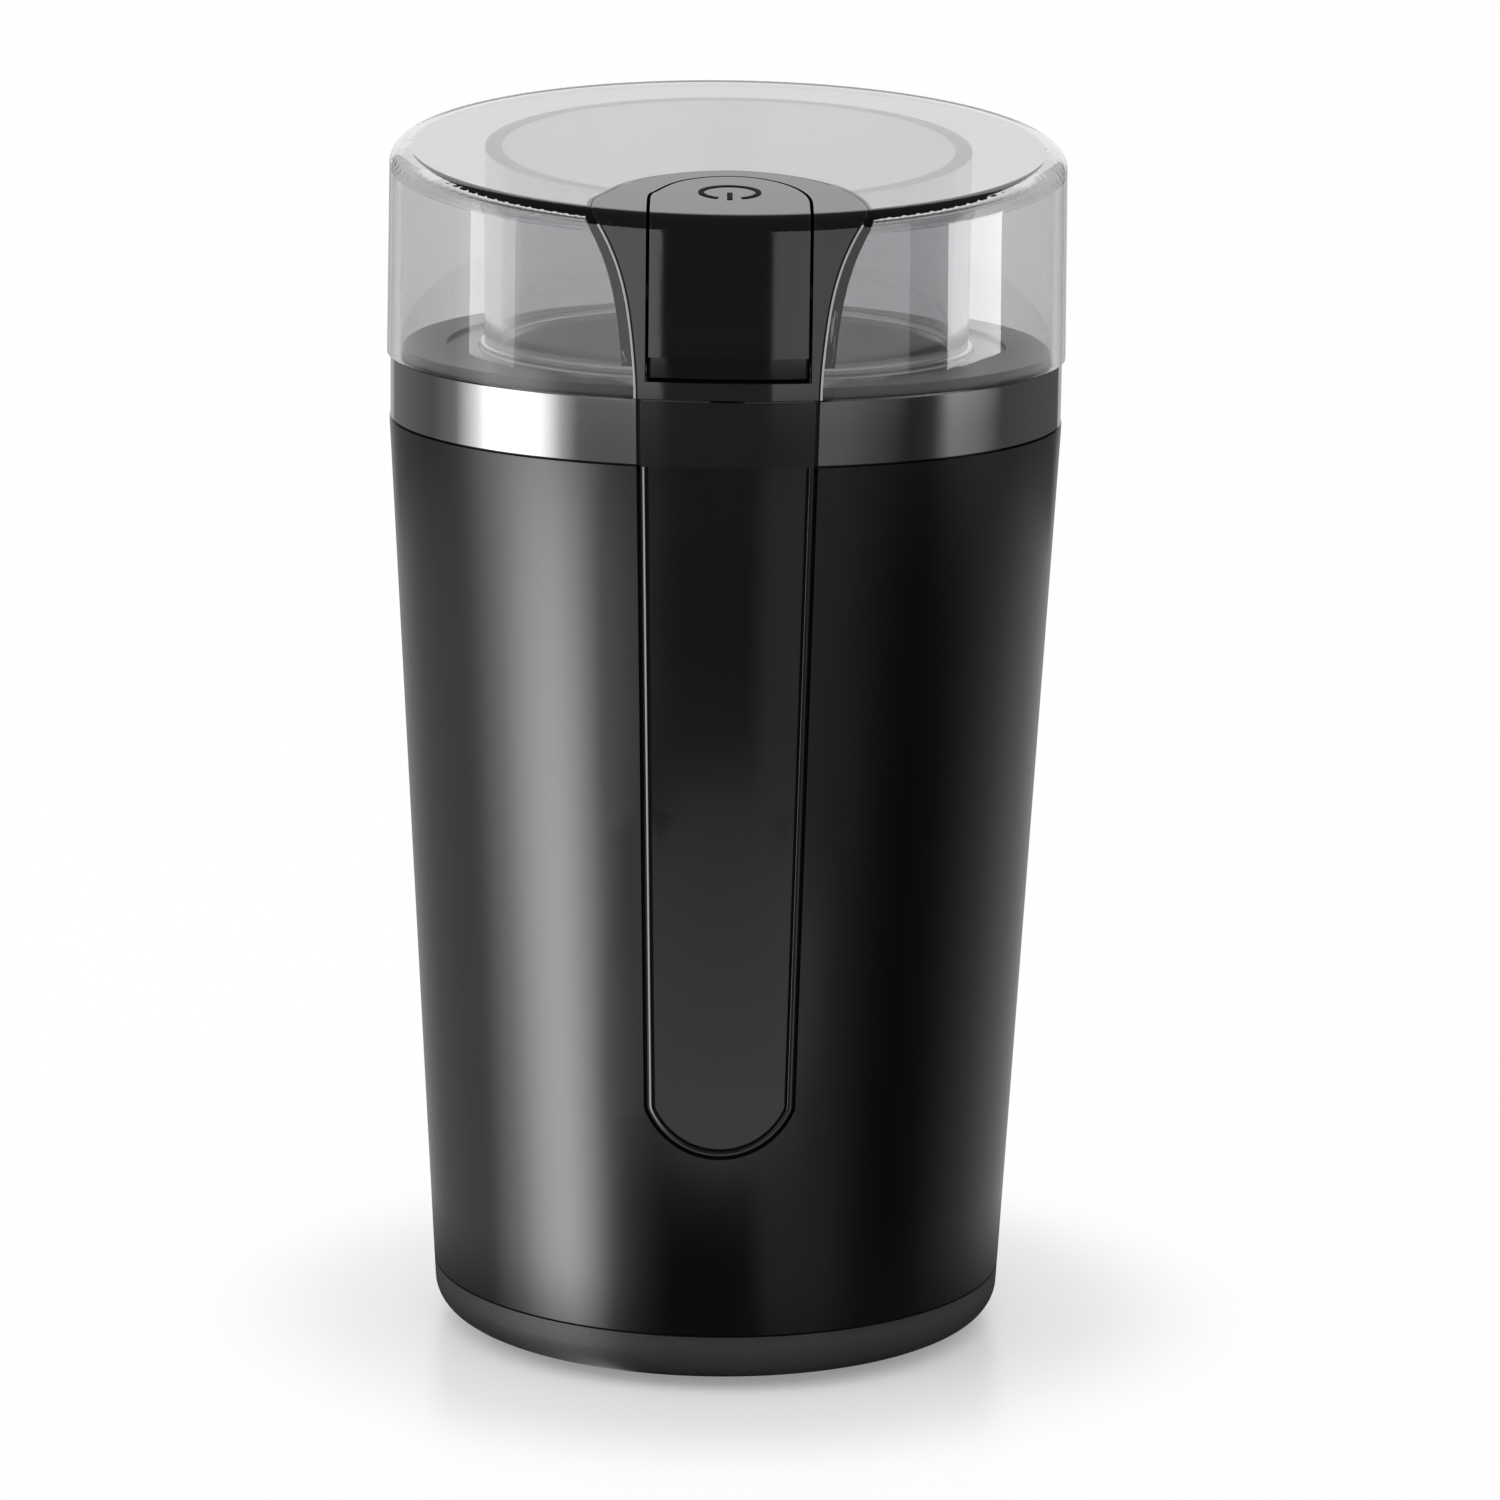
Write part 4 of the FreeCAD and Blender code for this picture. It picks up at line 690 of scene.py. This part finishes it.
class GRINDER_OT_housing(bpy.types.Operator):
    """Finishes the shell, the strip, the band, the base and the frame"""

    bl_idname = "grinder.housing"
    bl_label = "Housing"

    def execute(self, context):
        tones = context.scene.grinder_colours
        sizes = context.scene.grinder_sizes
        dress(shell_paint("shell_paint", tones.shell), "outer_shell")
        dress(plastic("strip_satin", tones.strip, 0.13, 0.0006, 0.000002), "front_panel")
        gloss = plastic("bead_gloss", tones.strip, 0.12, 0.002, 0.000002)
        # Painted shade: a dull near-black finish for the sheet that stands in for the groove's shade.
        dark = plastic("groove_painted_shade", tones.groove, 0.6, 0.0006, 0.00001, specular=0.05)
        strip_bead(sizes, gloss, dark)
        dress(metal("band_polish", tones.band, 0.09, 0.0002, 0.0000006, around=0.0005), "trim_ring")
        dress(plastic("base_grain", tones.base, 0.5, sizes.bristle, 0.00006, wear=2.0), "base_cover")
        dress(plastic("frame_moulding", tones.frame, 0.5, 0.0006, 0.00004), "inner_frame")
        dress(plastic("deck_satin", tones.deck, 0.3, 0.0005, 0.00002), "deck")
        return {"FINISHED"}


def shell_paint(name, rgb):
    """Gloss black paint on metal, with the faintest orange peel."""
    material, tree = blank_material(name)
    peel = noise(tree, place(tree), size=0.0015)
    slow = noise(tree, place(tree), size=0.03)
    tone = edge_worn(tree, tinted(tree, slow, rgb, 0.1), rgb, 4.0)
    normal = bumped(tree, peel, 0.2, 0.00001)
    surface(tree, tone, spread(tree, slow, 0.2, 0.23), normal, {"Specular IOR Level": 0.5})
    return material


class GRINDER_OT_lid(bpy.types.Operator):
    """Finishes the clear lid, its inner ring and its gasket"""

    bl_idname = "grinder.lid"
    bl_label = "Clear lid"

    def execute(self, context):
        tones = context.scene.grinder_colours
        dress(clear("lid_clear", tones.lid, 0.02, 1.5), "lid_shell", "lid_inner_ring")
        dress(clear("gasket_silicone", tones.silicone, 0.5, 1.41), "lid_gasket")
        # Painted highlight: an opaque light grey on the cut edge, where the clear lid catches light.
        cut_edge_highlight = plastic("lid_cut_edge", tones.cut_edge_highlight, 0.15, 0.0006, 0.000004, variety=0.03, wear=1.05)
        # Painted shade: a dull near-black for the lips and well linings beside the button.
        lip = plastic("pod_lip_shade", tones.mark, 0.5, 0.0006, 0.00001, specular=0.1)
        lid_lines(context.scene.grinder_sizes, cut_edge_highlight, lip)
        # Painted shade: dark sheets in the well round the button's foot.
        shade_well(lip)
        for name in ("lid_shell", "lid_inner_ring", "lid_gasket"):
            NODES[name].visible_shadow = False
            NODES[name].visible_diffuse = False
        return {"FINISHED"}


class GRINDER_OT_button(bpy.types.Operator):
    """Finishes the pod and the button, and sets the power mark on the button's top"""

    bl_idname = "grinder.button"
    bl_label = "Button and mark"

    def execute(self, context):
        tones = context.scene.grinder_colours
        gloss = plastic("pod_gloss", tones.pod, 0.08, 0.003, 0.00001, wear=3.0)
        dress(gloss, "button_housing", "button")
        wire = metal("spring_wire", tones.wire, 0.3, 0.0001, 0.000004)
        dress(wire, "button_springs")
        spring("button_coils", "button_springs", (-0.007, 0.007), 3.0, "lid", wire)
        ink = plastic("mark_line", tones.mark, 0.6, 0.0005, 0.00002, specular=0.05)
        make_mark(context.scene.grinder_sizes, ink)
        return {"FINISHED"}


# The button's sloped top: its height over the middle of the grinder, its slope, and where the mark sits on it
TOP_HEIGHT, TOP_SLOPE, MARK_Y = 0.1792, math.tan(math.radians(6.0)), -0.0335


def make_mark(sizes, ink):
    """A ring open at the front with a short bar through the gap, as thin raised lines."""
    shape = bmesh.new()
    half, steps, opening = sizes.mark_line / 2, 48, math.radians(50.0)
    ring = []
    for step in range(steps + 1):
        turn = (opening - math.pi) / 2 + (2 * math.pi - opening) * step / steps
        for radius in (sizes.mark_radius - half, sizes.mark_radius + half):
            ring.append(shape.verts.new((radius * math.cos(turn), radius * math.sin(turn), 0.0)))
    for first in range(0, 2 * steps, 2):
        shape.faces.new([ring[first + other] for other in (0, 1, 3, 2)])
    low, high = -sizes.mark_radius * 1.15, -sizes.mark_radius * 0.1
    corners = [(-half, low), (half, low), (half, high), (-half, high)]
    shape.faces.new([shape.verts.new((x, y, 0.0)) for x, y in corners])
    made = bmesh.ops.extrude_face_region(shape, geom=shape.faces[:])
    for item in made["geom"]:
        if isinstance(item, bmesh.types.BMVert):
            item.co.z += sizes.mark_depth
    bmesh.ops.recalc_face_normals(shape, faces=shape.faces)
    for vert in shape.verts:
        y = vert.co.y + MARK_Y
        vert.co = Vector((vert.co.x, y, TOP_HEIGHT + TOP_SLOPE * y + vert.co.z - sizes.mark_depth / 4))
    seat(piece_of(shape, "button_mark", ink), "button", "pod_gloss_black")


class GRINDER_OT_bowl(bpy.types.Operator):
    """Makes the spun bowl and finishes the blade, the bush, the seal and the gasket"""

    bl_idname = "grinder.bowl"
    bl_label = "Bowl and blade"

    def execute(self, context):
        tones = context.scene.grinder_colours
        sizes = context.scene.grinder_sizes
        steel = metal("bowl_spun", tones.bowl, 0.2, 0.00025, 0.000012)
        make_bowl(sizes, steel)
        blade_steel = rough_metal("blade_ground", tones.blade, 0.22, 0.0003, 0.00001, (1.0, 0.05, 1.0))
        dress(blade_steel, "blade")
        dress(metal("nut_steel", tones.blade, 0.16, 0.0001, 0.000006), "blade_nut", "bowl_bush")
        dress(plastic("seal_rubber", tones.rubber, 0.6, 0.0004, 0.00003), "shaft_seal")
        dress(plastic("gasket_rubber", tones.gasket, 0.6, 0.0004, 0.00003), "bowl_gasket")
        return {"FINISHED"}


def make_bowl(sizes, steel):
    """The bowl as a solid of revolution with a rolled rim."""
    low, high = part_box("grinding_bowl")
    wall, hole, outer = 0.0008, 0.0061, 0.0338
    inner, floor, lip, corner = outer - wall, low.z + wall, wall / 2, sizes.bowl_corner
    neck, mouth = 0.0006, 0.0009
    section = [(hole, floor), (hole, low.z)]
    section += arc(outer - corner - wall, low.z + corner + wall, corner + wall, -90.0, 0.0, 14)
    section += arc(outer + neck, high.z - wall - neck, neck, 180.0, 90.0, 6)
    section += arc(high.x - lip, high.z - lip, lip, -90.0, 90.0, 8)
    section += arc(inner + mouth, high.z - mouth, mouth, 90.0, 180.0, 6)
    section += arc(inner - corner, floor + corner, corner, 0.0, -90.0, 14)
    seat(lathe("spun_bowl", section, sizes.bowl_steps, steel), "housing", "bowl_steel", "grinding_bowl")


class GRINDER_OT_motor(bpy.types.Operator):
    """Finishes the motor and winds its field coils"""

    bl_idname = "grinder.motor"
    bl_label = "Motor"

    def execute(self, context):
        tones = context.scene.grinder_colours
        dress(laminated("motor_iron", tones.iron), "armature_core", "stator_stack")
        enamel = rough_metal("copper_enamel", tones.enamel, 0.3, 0.0008, 0.00008, (1.0, 1.0, 3.0))
        dress(enamel, "armature_windings", "field_coils")
        wind_coils(context.scene.grinder_sizes, enamel)
        dress(metal("commutator_copper", tones.copper, 0.28, 0.0001, 0.00001), "commutator")
        dress(metal("shaft_steel", tones.wire, 0.22, 0.0001, 0.000008), "drive_shaft")
        fan = plastic("fan_moulding", tones.fan, 0.45, 0.0008, 0.00003, variety=0.04, wear=1.1)
        dress(fan, "cooling_fan")
        bronze = rough_metal("bearing_bronze", tones.bronze, 0.45, 0.0002, 0.00004)
        dress(bronze, "upper_bearing", "lower_bearing")
        dress(rough_metal("bracket_casting", tones.alloy, 0.42, 0.0005, 0.00006), "upper_bracket")
        moulding = plastic("bracket_moulding", tones.bracket, 0.55, 0.0005, 0.00005)
        dress(moulding, "lower_bracket", "cord_clamp")
        dress(rough_metal("brush_brass", tones.brass, 0.3, 0.0003, 0.00001, (1.0, 0.1, 1.0)), "brush_holders")
        dress(plastic("brush_carbon", tones.carbon, 0.6, 0.0002, 0.00005), "carbon_brushes")
        dress(metal("brush_wire", tones.wire, 0.3, 0.0001, 0.00001), "brush_springs")
        dress(plastic("mount_rubber", tones.rubber, 0.65, 0.0004, 0.00004), "motor_mounts")
        return {"FINISHED"}


class GRINDER_OT_switch(bpy.types.Operator):
    """Finishes the push rod, the switch and its lever"""

    bl_idname = "grinder.switch"
    bl_label = "Switch gear"

    def execute(self, context):
        tones = context.scene.grinder_colours
        acetal = plastic("acetal", tones.acetal, 0.35, 0.0006, 0.00002, variety=0.03, wear=1.05)
        dress(acetal, "push_rod", "rod_guide", "switch_plunger")
        dress(plastic("switch_case", tones.switch, 0.45, 0.0004, 0.00003), "microswitch")
        strip = rough_metal("lever_steel", tones.lever, 0.25, 0.0002, 0.00001, (0.1, 1.0, 1.0))
        dress(strip, "switch_lever", "lever_pin")
        wire = metal("rod_wire", tones.wire, 0.3, 0.0001, 0.000004)
        dress(wire, "rod_spring")
        spring("rod_coil", "rod_spring", (0.0,), 5.0, "housing", wire)
        return {"FINISHED"}


class GRINDER_OT_fasteners(bpy.types.Operator):
    """Finishes the screws, the nut, the bracket and the feet"""

    bl_idname = "grinder.fasteners"
    bl_label = "Fasteners and feet"

    def execute(self, context):
        tones = context.scene.grinder_colours
        held = ("base", "deck", "motor", "mount", "clamp", "bracket", "switch")
        zinc = rough_metal("zinc_plate", tones.zinc, 0.33, 0.0004, 0.00002)
        dress(zinc, "switch_bracket", "bush_nut", *(part + "_screws" for part in held))
        dress(plastic("foot_rubber", tones.rubber, 0.7, 0.0004, 0.00005), "feet")
        return {"FINISHED"}


class GRINDER_OT_inlet(bpy.types.Operator):
    """Finishes the cord bush, the terminal block and the leads"""

    bl_idname = "grinder.inlet"
    bl_label = "Cord inlet"

    def execute(self, context):
        tones = context.scene.grinder_colours
        dress(plastic("gland_rubber", tones.rubber, 0.6, 0.0004, 0.00005), "cord_gland")
        dress(plastic("terminal_moulding", tones.terminal, 0.4, 0.0006, 0.00003, wear=1.05), "terminal_block")
        dress(plastic("lead_sheath", tones.sheath, 0.4, 0.0006, 0.00003), "lead_wires")
        return {"FINISHED"}


class GRINDER_OT_stage(bpy.types.Operator):
    """Makes the camera, the floor, the room and the lamps"""

    bl_idname = "grinder.stage"
    bl_label = "Stage"

    def execute(self, context):
        stage = context.scene.grinder_stage
        make_camera(context.scene, stage)
        make_room(context.scene, stage.ambient)
        make_floor()
        for card in CARDS:
            make_card(*card)
        make_hood()
        for lamp in LAMPS:
            make_lamp(*lamp)
        context.scene.view_settings.view_transform = "Standard"
        return {"FINISHED"}


def make_camera(scene, stage):
    """The photograph's view: the pitched and rolled camera, swung round the upright axis."""
    camera = bpy.data.cameras.new("camera")
    camera.lens = stage.lens
    camera.sensor_width = 36.0
    camera.clip_start, camera.clip_end = 0.05, 50.0
    scene.camera = put("camera", camera)
    right = Vector((1.0, 0.0, 0.0))
    forward = Vector((0.0, math.cos(stage.pitch), -math.sin(stage.pitch)))
    up = right.cross(forward)
    cos_roll, sin_roll = math.cos(stage.roll), math.sin(stage.roll)
    rolled_right = right * cos_roll + up * sin_roll
    rolled_up = up * cos_roll - right * sin_roll
    turn = Matrix((rolled_right, rolled_up, -forward)).transposed()
    spot = Matrix.Translation((stage.camera_x, stage.camera_y, stage.camera_z))
    scene.camera.matrix_world = Matrix.Rotation(-stage.swing, 4, "Z") @ spot @ turn.to_4x4()


def glow(tree, strength):
    return add(tree, "ShaderNodeEmission", {"Strength": strength}).outputs["Emission"]


def see_through(tree):
    return add(tree, "ShaderNodeBsdfTransparent").outputs["BSDF"]


def mirrored_rays(tree):
    """1 for rays that leave a surface by reflection, and 0 for those that came through glass."""
    path = add(tree, "ShaderNodeLightPath").outputs
    return maths(tree, "SUBTRACT", path["Is Glossy Ray"], path["Is Transmission Ray"])


def straight_rays(tree):
    """1 for rays that look straight or through glass."""
    path = add(tree, "ShaderNodeLightPath").outputs
    return maths(tree, "MAXIMUM", path["Is Camera Ray"], path["Is Transmission Ray"])


def bent_glow(tree):
    """White, but dim for rays that glass bent far from the view, so that clear edges read as dark lines."""
    way = split(tree, add(tree, "ShaderNodeTexCoord").outputs["Generated"])["Y"]
    ahead = rescaled(tree, way, 0.55, 0.85, 0.15, 1.0)
    through = add(tree, "ShaderNodeLightPath").outputs["Is Transmission Ray"]
    return add(tree, "ShaderNodeMix", {"Factor": through, "A": 1.0, "B": ahead}).outputs["Result"]


def make_room(scene, ambient):
    """A world that is white to look at and to reflect, and lights matte surfaces at the ambient level."""
    world = bpy.data.worlds.new("room")
    world.use_nodes = True
    tree = world.node_tree
    tree.nodes.clear()
    shades = []
    for level in (ambient, bent_glow(tree)):
        white = {"Color": (1.0, 1.0, 1.0, 1.0), "Strength": level}
        shades.append(add(tree, "ShaderNodeBackground", white).outputs["Background"])
    glossy = add(tree, "ShaderNodeLightPath").outputs["Is Glossy Ray"]
    shiny = maths(tree, "MAXIMUM", straight_rays(tree), glossy)
    add(tree, "ShaderNodeOutputWorld", {"Surface": blended(tree, shiny, *shades)})
    scene.world = world


def stage_sheet(name, points, faces, material):
    """A sheet of the stage, which isn't part of the object."""
    mesh = bpy.data.meshes.new(name)
    mesh.from_pydata(points, [], faces)
    mesh.materials.append(material)
    sheet = put(name, mesh)
    return sheet


def beyond(tree, source, reach):
    """How far a number lies outside -reach..reach, which is 0 in between."""
    held = add(tree, "ShaderNodeClamp", {"Value": source, "Min": -reach, "Max": reach}).outputs["Result"]
    return maths(tree, "SUBTRACT", source, held)


def compass(tree):
    """0 to 1 by the way a reflection leaves the round body: 0.5 is the front, 0.25 the left, 0.75 the right.

    Seen from the camera, such reflections spread from two points inside the body's front half.
    """
    point_side, point_front = 0.007, 0.031
    parts = split(tree, own_place(tree))
    front = maths(tree, "SUBTRACT", -point_front, parts["Y"])
    turn = maths(tree, "ARCTAN2", beyond(tree, parts["X"], point_side), front)
    return maths(tree, "MULTIPLY_ADD", turn, 0.5 / math.pi, 0.5)


def glow_round(tree, levels):
    """Brightness by direction from given stops, each an angle from the front and a level."""
    peak = max(level for degrees, level in levels)
    ramp = add(tree, "ShaderNodeValToRGB", {"Fac": compass(tree)})
    stops = ramp.color_ramp.elements
    while len(stops) > 1:
        stops.remove(stops[-1])
    for number, (degrees, level) in enumerate(levels):
        spot = 0.5 + degrees / 360.0
        stop = stops[0] if number == 0 else stops.new(spot)
        stop.position = spot
        stop.color = (level / peak, level / peak, level / peak, 1.0)
    return maths(tree, "MULTIPLY", ramp.outputs["Color"], peak)


FLOOR_GLOW = [
    (-180, 0.5), (-131, 0.4), (-100, 0.6), (-85, 2.8), (-73, 7.0), (-62, 9.0), (-52, 5.5), (-42, 1.2),
    (-33, 0.5), (-22, 0.1), (-14, 0.0), (8, 0.0), (15, 0.3), (28, 0.32), (42, 0.28), (58, 0.08),
    (70, 0.02), (86, 0.06), (104, 0.25), (125, 0.45), (180, 0.5),
]
WALL_GLOW = [
    (-180, 0.3), (-150, 0.2), (-118, 0.12), (-104, 0.25), (-93, 1.3), (-86, 2.6), (-70, 2.6), (-62, 1.4),
    (-57, 0.5), (-51, 0.12), (40, 0.12), (52, 0.07), (64, 0.02), (74, 0.05), (82, 0.3), (95, 0.22),
    (106, 0.08), (130, 0.1), (158, 0.1), (180, 0.3),
]


def make_floor():
    """A white floor that keeps the shadow; the object's reflections see the light and dark cards on it."""
    material, tree = blank_material("floor_white")
    white = {"Base Color": (0.95, 0.95, 0.95, 1.0), "Roughness": 0.3, "Specular IOR Level": 0.5}
    paint = add(tree, "ShaderNodeBsdfPrincipled", white).outputs["BSDF"]
    away = vectors(tree, "LENGTH", own_place(tree))
    share = rescaled(tree, away, 0.054, 0.084, 0.25, 0.92, interpolation_type="SMOOTHSTEP")
    lit = blended(tree, maths(tree, "MULTIPLY", straight_rays(tree), share), paint, glow(tree, 1.0))
    rise = rescaled(tree, away, 0.05, 0.085, 0.12, 1.0)
    ring = maths(tree, "MULTIPLY", glow_round(tree, FLOOR_GLOW), rise)
    cards = glow(tree, maths(tree, "MAXIMUM", ring, patch(tree)))
    reflected = blended(tree, mirrored_rays(tree), lit, cards)
    below = add(tree, "ShaderNodeNewGeometry").outputs["Backfacing"]
    add(tree, "ShaderNodeOutputMaterial", {"Surface": blended(tree, below, reflected, see_through(tree))})
    half = 6.0
    corners = [(-half, -half, 0.0), (half, -half, 0.0), (half, half, 0.0), (-half, half, 0.0)]
    stage_sheet("floor", corners, [(0, 1, 2, 3)], material)


def patch(tree):
    """An oval light card on the floor in front, brighter towards the object, which the strip reflects."""
    ahead, half_width, half_depth = 0.2315, 0.145, 0.1035
    centred = {"Vector": own_place(tree), "Location": (0.0, ahead, 0.0)}
    spot = add(tree, "ShaderNodeMapping", centred).outputs["Vector"]
    oval = vectors(tree, "MULTIPLY", spot, (1 / half_width, 1 / half_depth, 1.0))
    inside = maths(tree, "LESS_THAN", vectors(tree, "LENGTH", oval), 1.0)
    level = rescaled(tree, split(tree, oval)["Y"], -1.0, 1.0, 0.35, 0.95)
    return maths(tree, "MULTIPLY", inside, level)


# Each card's name, distance, foot, head, first and last angle from the front, and level (none: like the wall)
CARDS = [
    ("wall", 0.5, 0.03, 0.45, -155, 155, None),
    ("tall_left", 0.49, 0.098, 0.36, -70, -21, 2.0),
    ("tall_right", 0.49, 0.098, 0.36, 14, 60, 1.4),
    ("far_left", 0.48, 0.098, 0.18, -92, -72, 5.0),
    ("far_right", 0.48, 0.098, 0.18, 75, 100, 6.5),
    ("low_left", 0.49, 0.093, 0.098, -31, -20, 2.5),
    ("low_right", 0.49, 0.093, 0.098, 14, 31, 2.0),
]


def make_card(name, reach, low, high, start, end, level):
    """An upright card, bent round the object from start to end, that only reflections see."""
    steps = max(1, round((end - start) / 5))
    points = []
    for step in range(steps + 1):
        turn = math.radians(start + (end - start) * step / steps)
        points += [(reach * math.sin(turn), -reach * math.cos(turn), height) for height in (low, high)]
    hang_card(name, points, [(a, a + 1, a + 3, a + 2) for a in range(0, 2 * steps, 2)], level)


def make_hood():
    """A dark card overhead, which turns the rounded front edges of the lid and the button dark."""
    half, front, back, height, level = 0.45, -0.5, 0.3, 0.45, 0.12
    corners = [(-half, front, height), (half, front, height), (half, back, height), (-half, back, height)]
    hang_card("hood", corners, [(0, 1, 2, 3)], level)


def hang_card(name, points, faces, level):
    """Makes a card from its mesh; with no level given, it glows by direction like the wall."""
    material, tree = blank_material(name)
    strength = glow_round(tree, WALL_GLOW) if level is None else level
    shown = blended(tree, mirrored_rays(tree), see_through(tree), glow(tree, strength))
    add(tree, "ShaderNodeOutputMaterial", {"Surface": shown})
    card = stage_sheet(name, points, faces, material)
    for ray in ("camera", "diffuse", "transmission", "shadow", "volume_scatter"):
        setattr(card, "visible_" + ray, False)


# Each lamp's name, angle from the front towards the right, distance, height, size and level
LAMPS = [
    ("key", -70.0, 0.7, 0.35, 0.5, 2.2),
    ("fill", 60.0, 0.9, 0.4, 0.5, 1.0),
]


def make_lamp(name, turn, distance, height, size, level):
    """A square softbox that faces the object."""
    light = bpy.data.lights.new(name, "AREA")
    light.shape = "SQUARE"
    light.size = size
    light.energy = level * math.pi * size * size
    lamp = put(name, light)
    way = math.radians(turn)
    lamp.location = (distance * math.sin(way), -distance * math.cos(way), height)
    target = Vector((0.0, 0.0, 0.1))
    lamp.rotation_mode = "QUATERNION"
    lamp.rotation_quaternion = (target - lamp.location).to_track_quat("-Z", "Y")
    for ray in ("camera", "glossy", "transmission"):
        setattr(lamp, "visible_" + ray, False)


class GRINDER_PT_panel(bpy.types.Panel):
    """Lists the grinder's operators with its sizes and colours"""

    bl_idname = "GRINDER_PT_panel"
    bl_label = "Spice grinder"
    bl_space_type = "VIEW_3D"
    bl_region_type = "UI"
    bl_category = "Grinder"

    def draw(self, context):
        for operator in OPERATORS:
            self.layout.operator(operator.bl_idname)
        for group in ("grinder_colours", "grinder_sizes", "grinder_stage"):
            values = getattr(context.scene, group)
            box = self.layout.box()
            for name in values.bl_rna.properties.keys():
                if name not in ("rna_type", "name"):
                    box.prop(values, name)


OPERATORS = (
    GRINDER_OT_stage,
    GRINDER_OT_housing,
    GRINDER_OT_lid,
    GRINDER_OT_button,
    GRINDER_OT_bowl,
    GRINDER_OT_motor,
    GRINDER_OT_switch,
    GRINDER_OT_fasteners,
    GRINDER_OT_inlet,
)
CLASSES = (GrinderColours, GrinderSizes, GrinderStage) + OPERATORS + (GRINDER_PT_panel,)


def register():
    for made in CLASSES:
        bpy.utils.register_class(made)
    bpy.types.Scene.grinder_colours = bpy.props.PointerProperty(type=GrinderColours)
    bpy.types.Scene.grinder_sizes = bpy.props.PointerProperty(type=GrinderSizes)
    bpy.types.Scene.grinder_stage = bpy.props.PointerProperty(type=GrinderStage)


def unregister():
    del bpy.types.Scene.grinder_stage
    del bpy.types.Scene.grinder_sizes
    del bpy.types.Scene.grinder_colours
    for made in reversed(CLASSES):
        bpy.utils.unregister_class(made)


def main():
    register()
    bpy.ops.grinder.stage()
    bpy.ops.grinder.housing()
    bpy.ops.grinder.lid()
    bpy.ops.grinder.button()
    bpy.ops.grinder.bowl()
    bpy.ops.grinder.motor()
    bpy.ops.grinder.switch()
    bpy.ops.grinder.fasteners()
    bpy.ops.grinder.inlet()


if __name__ == "__main__":
    main()
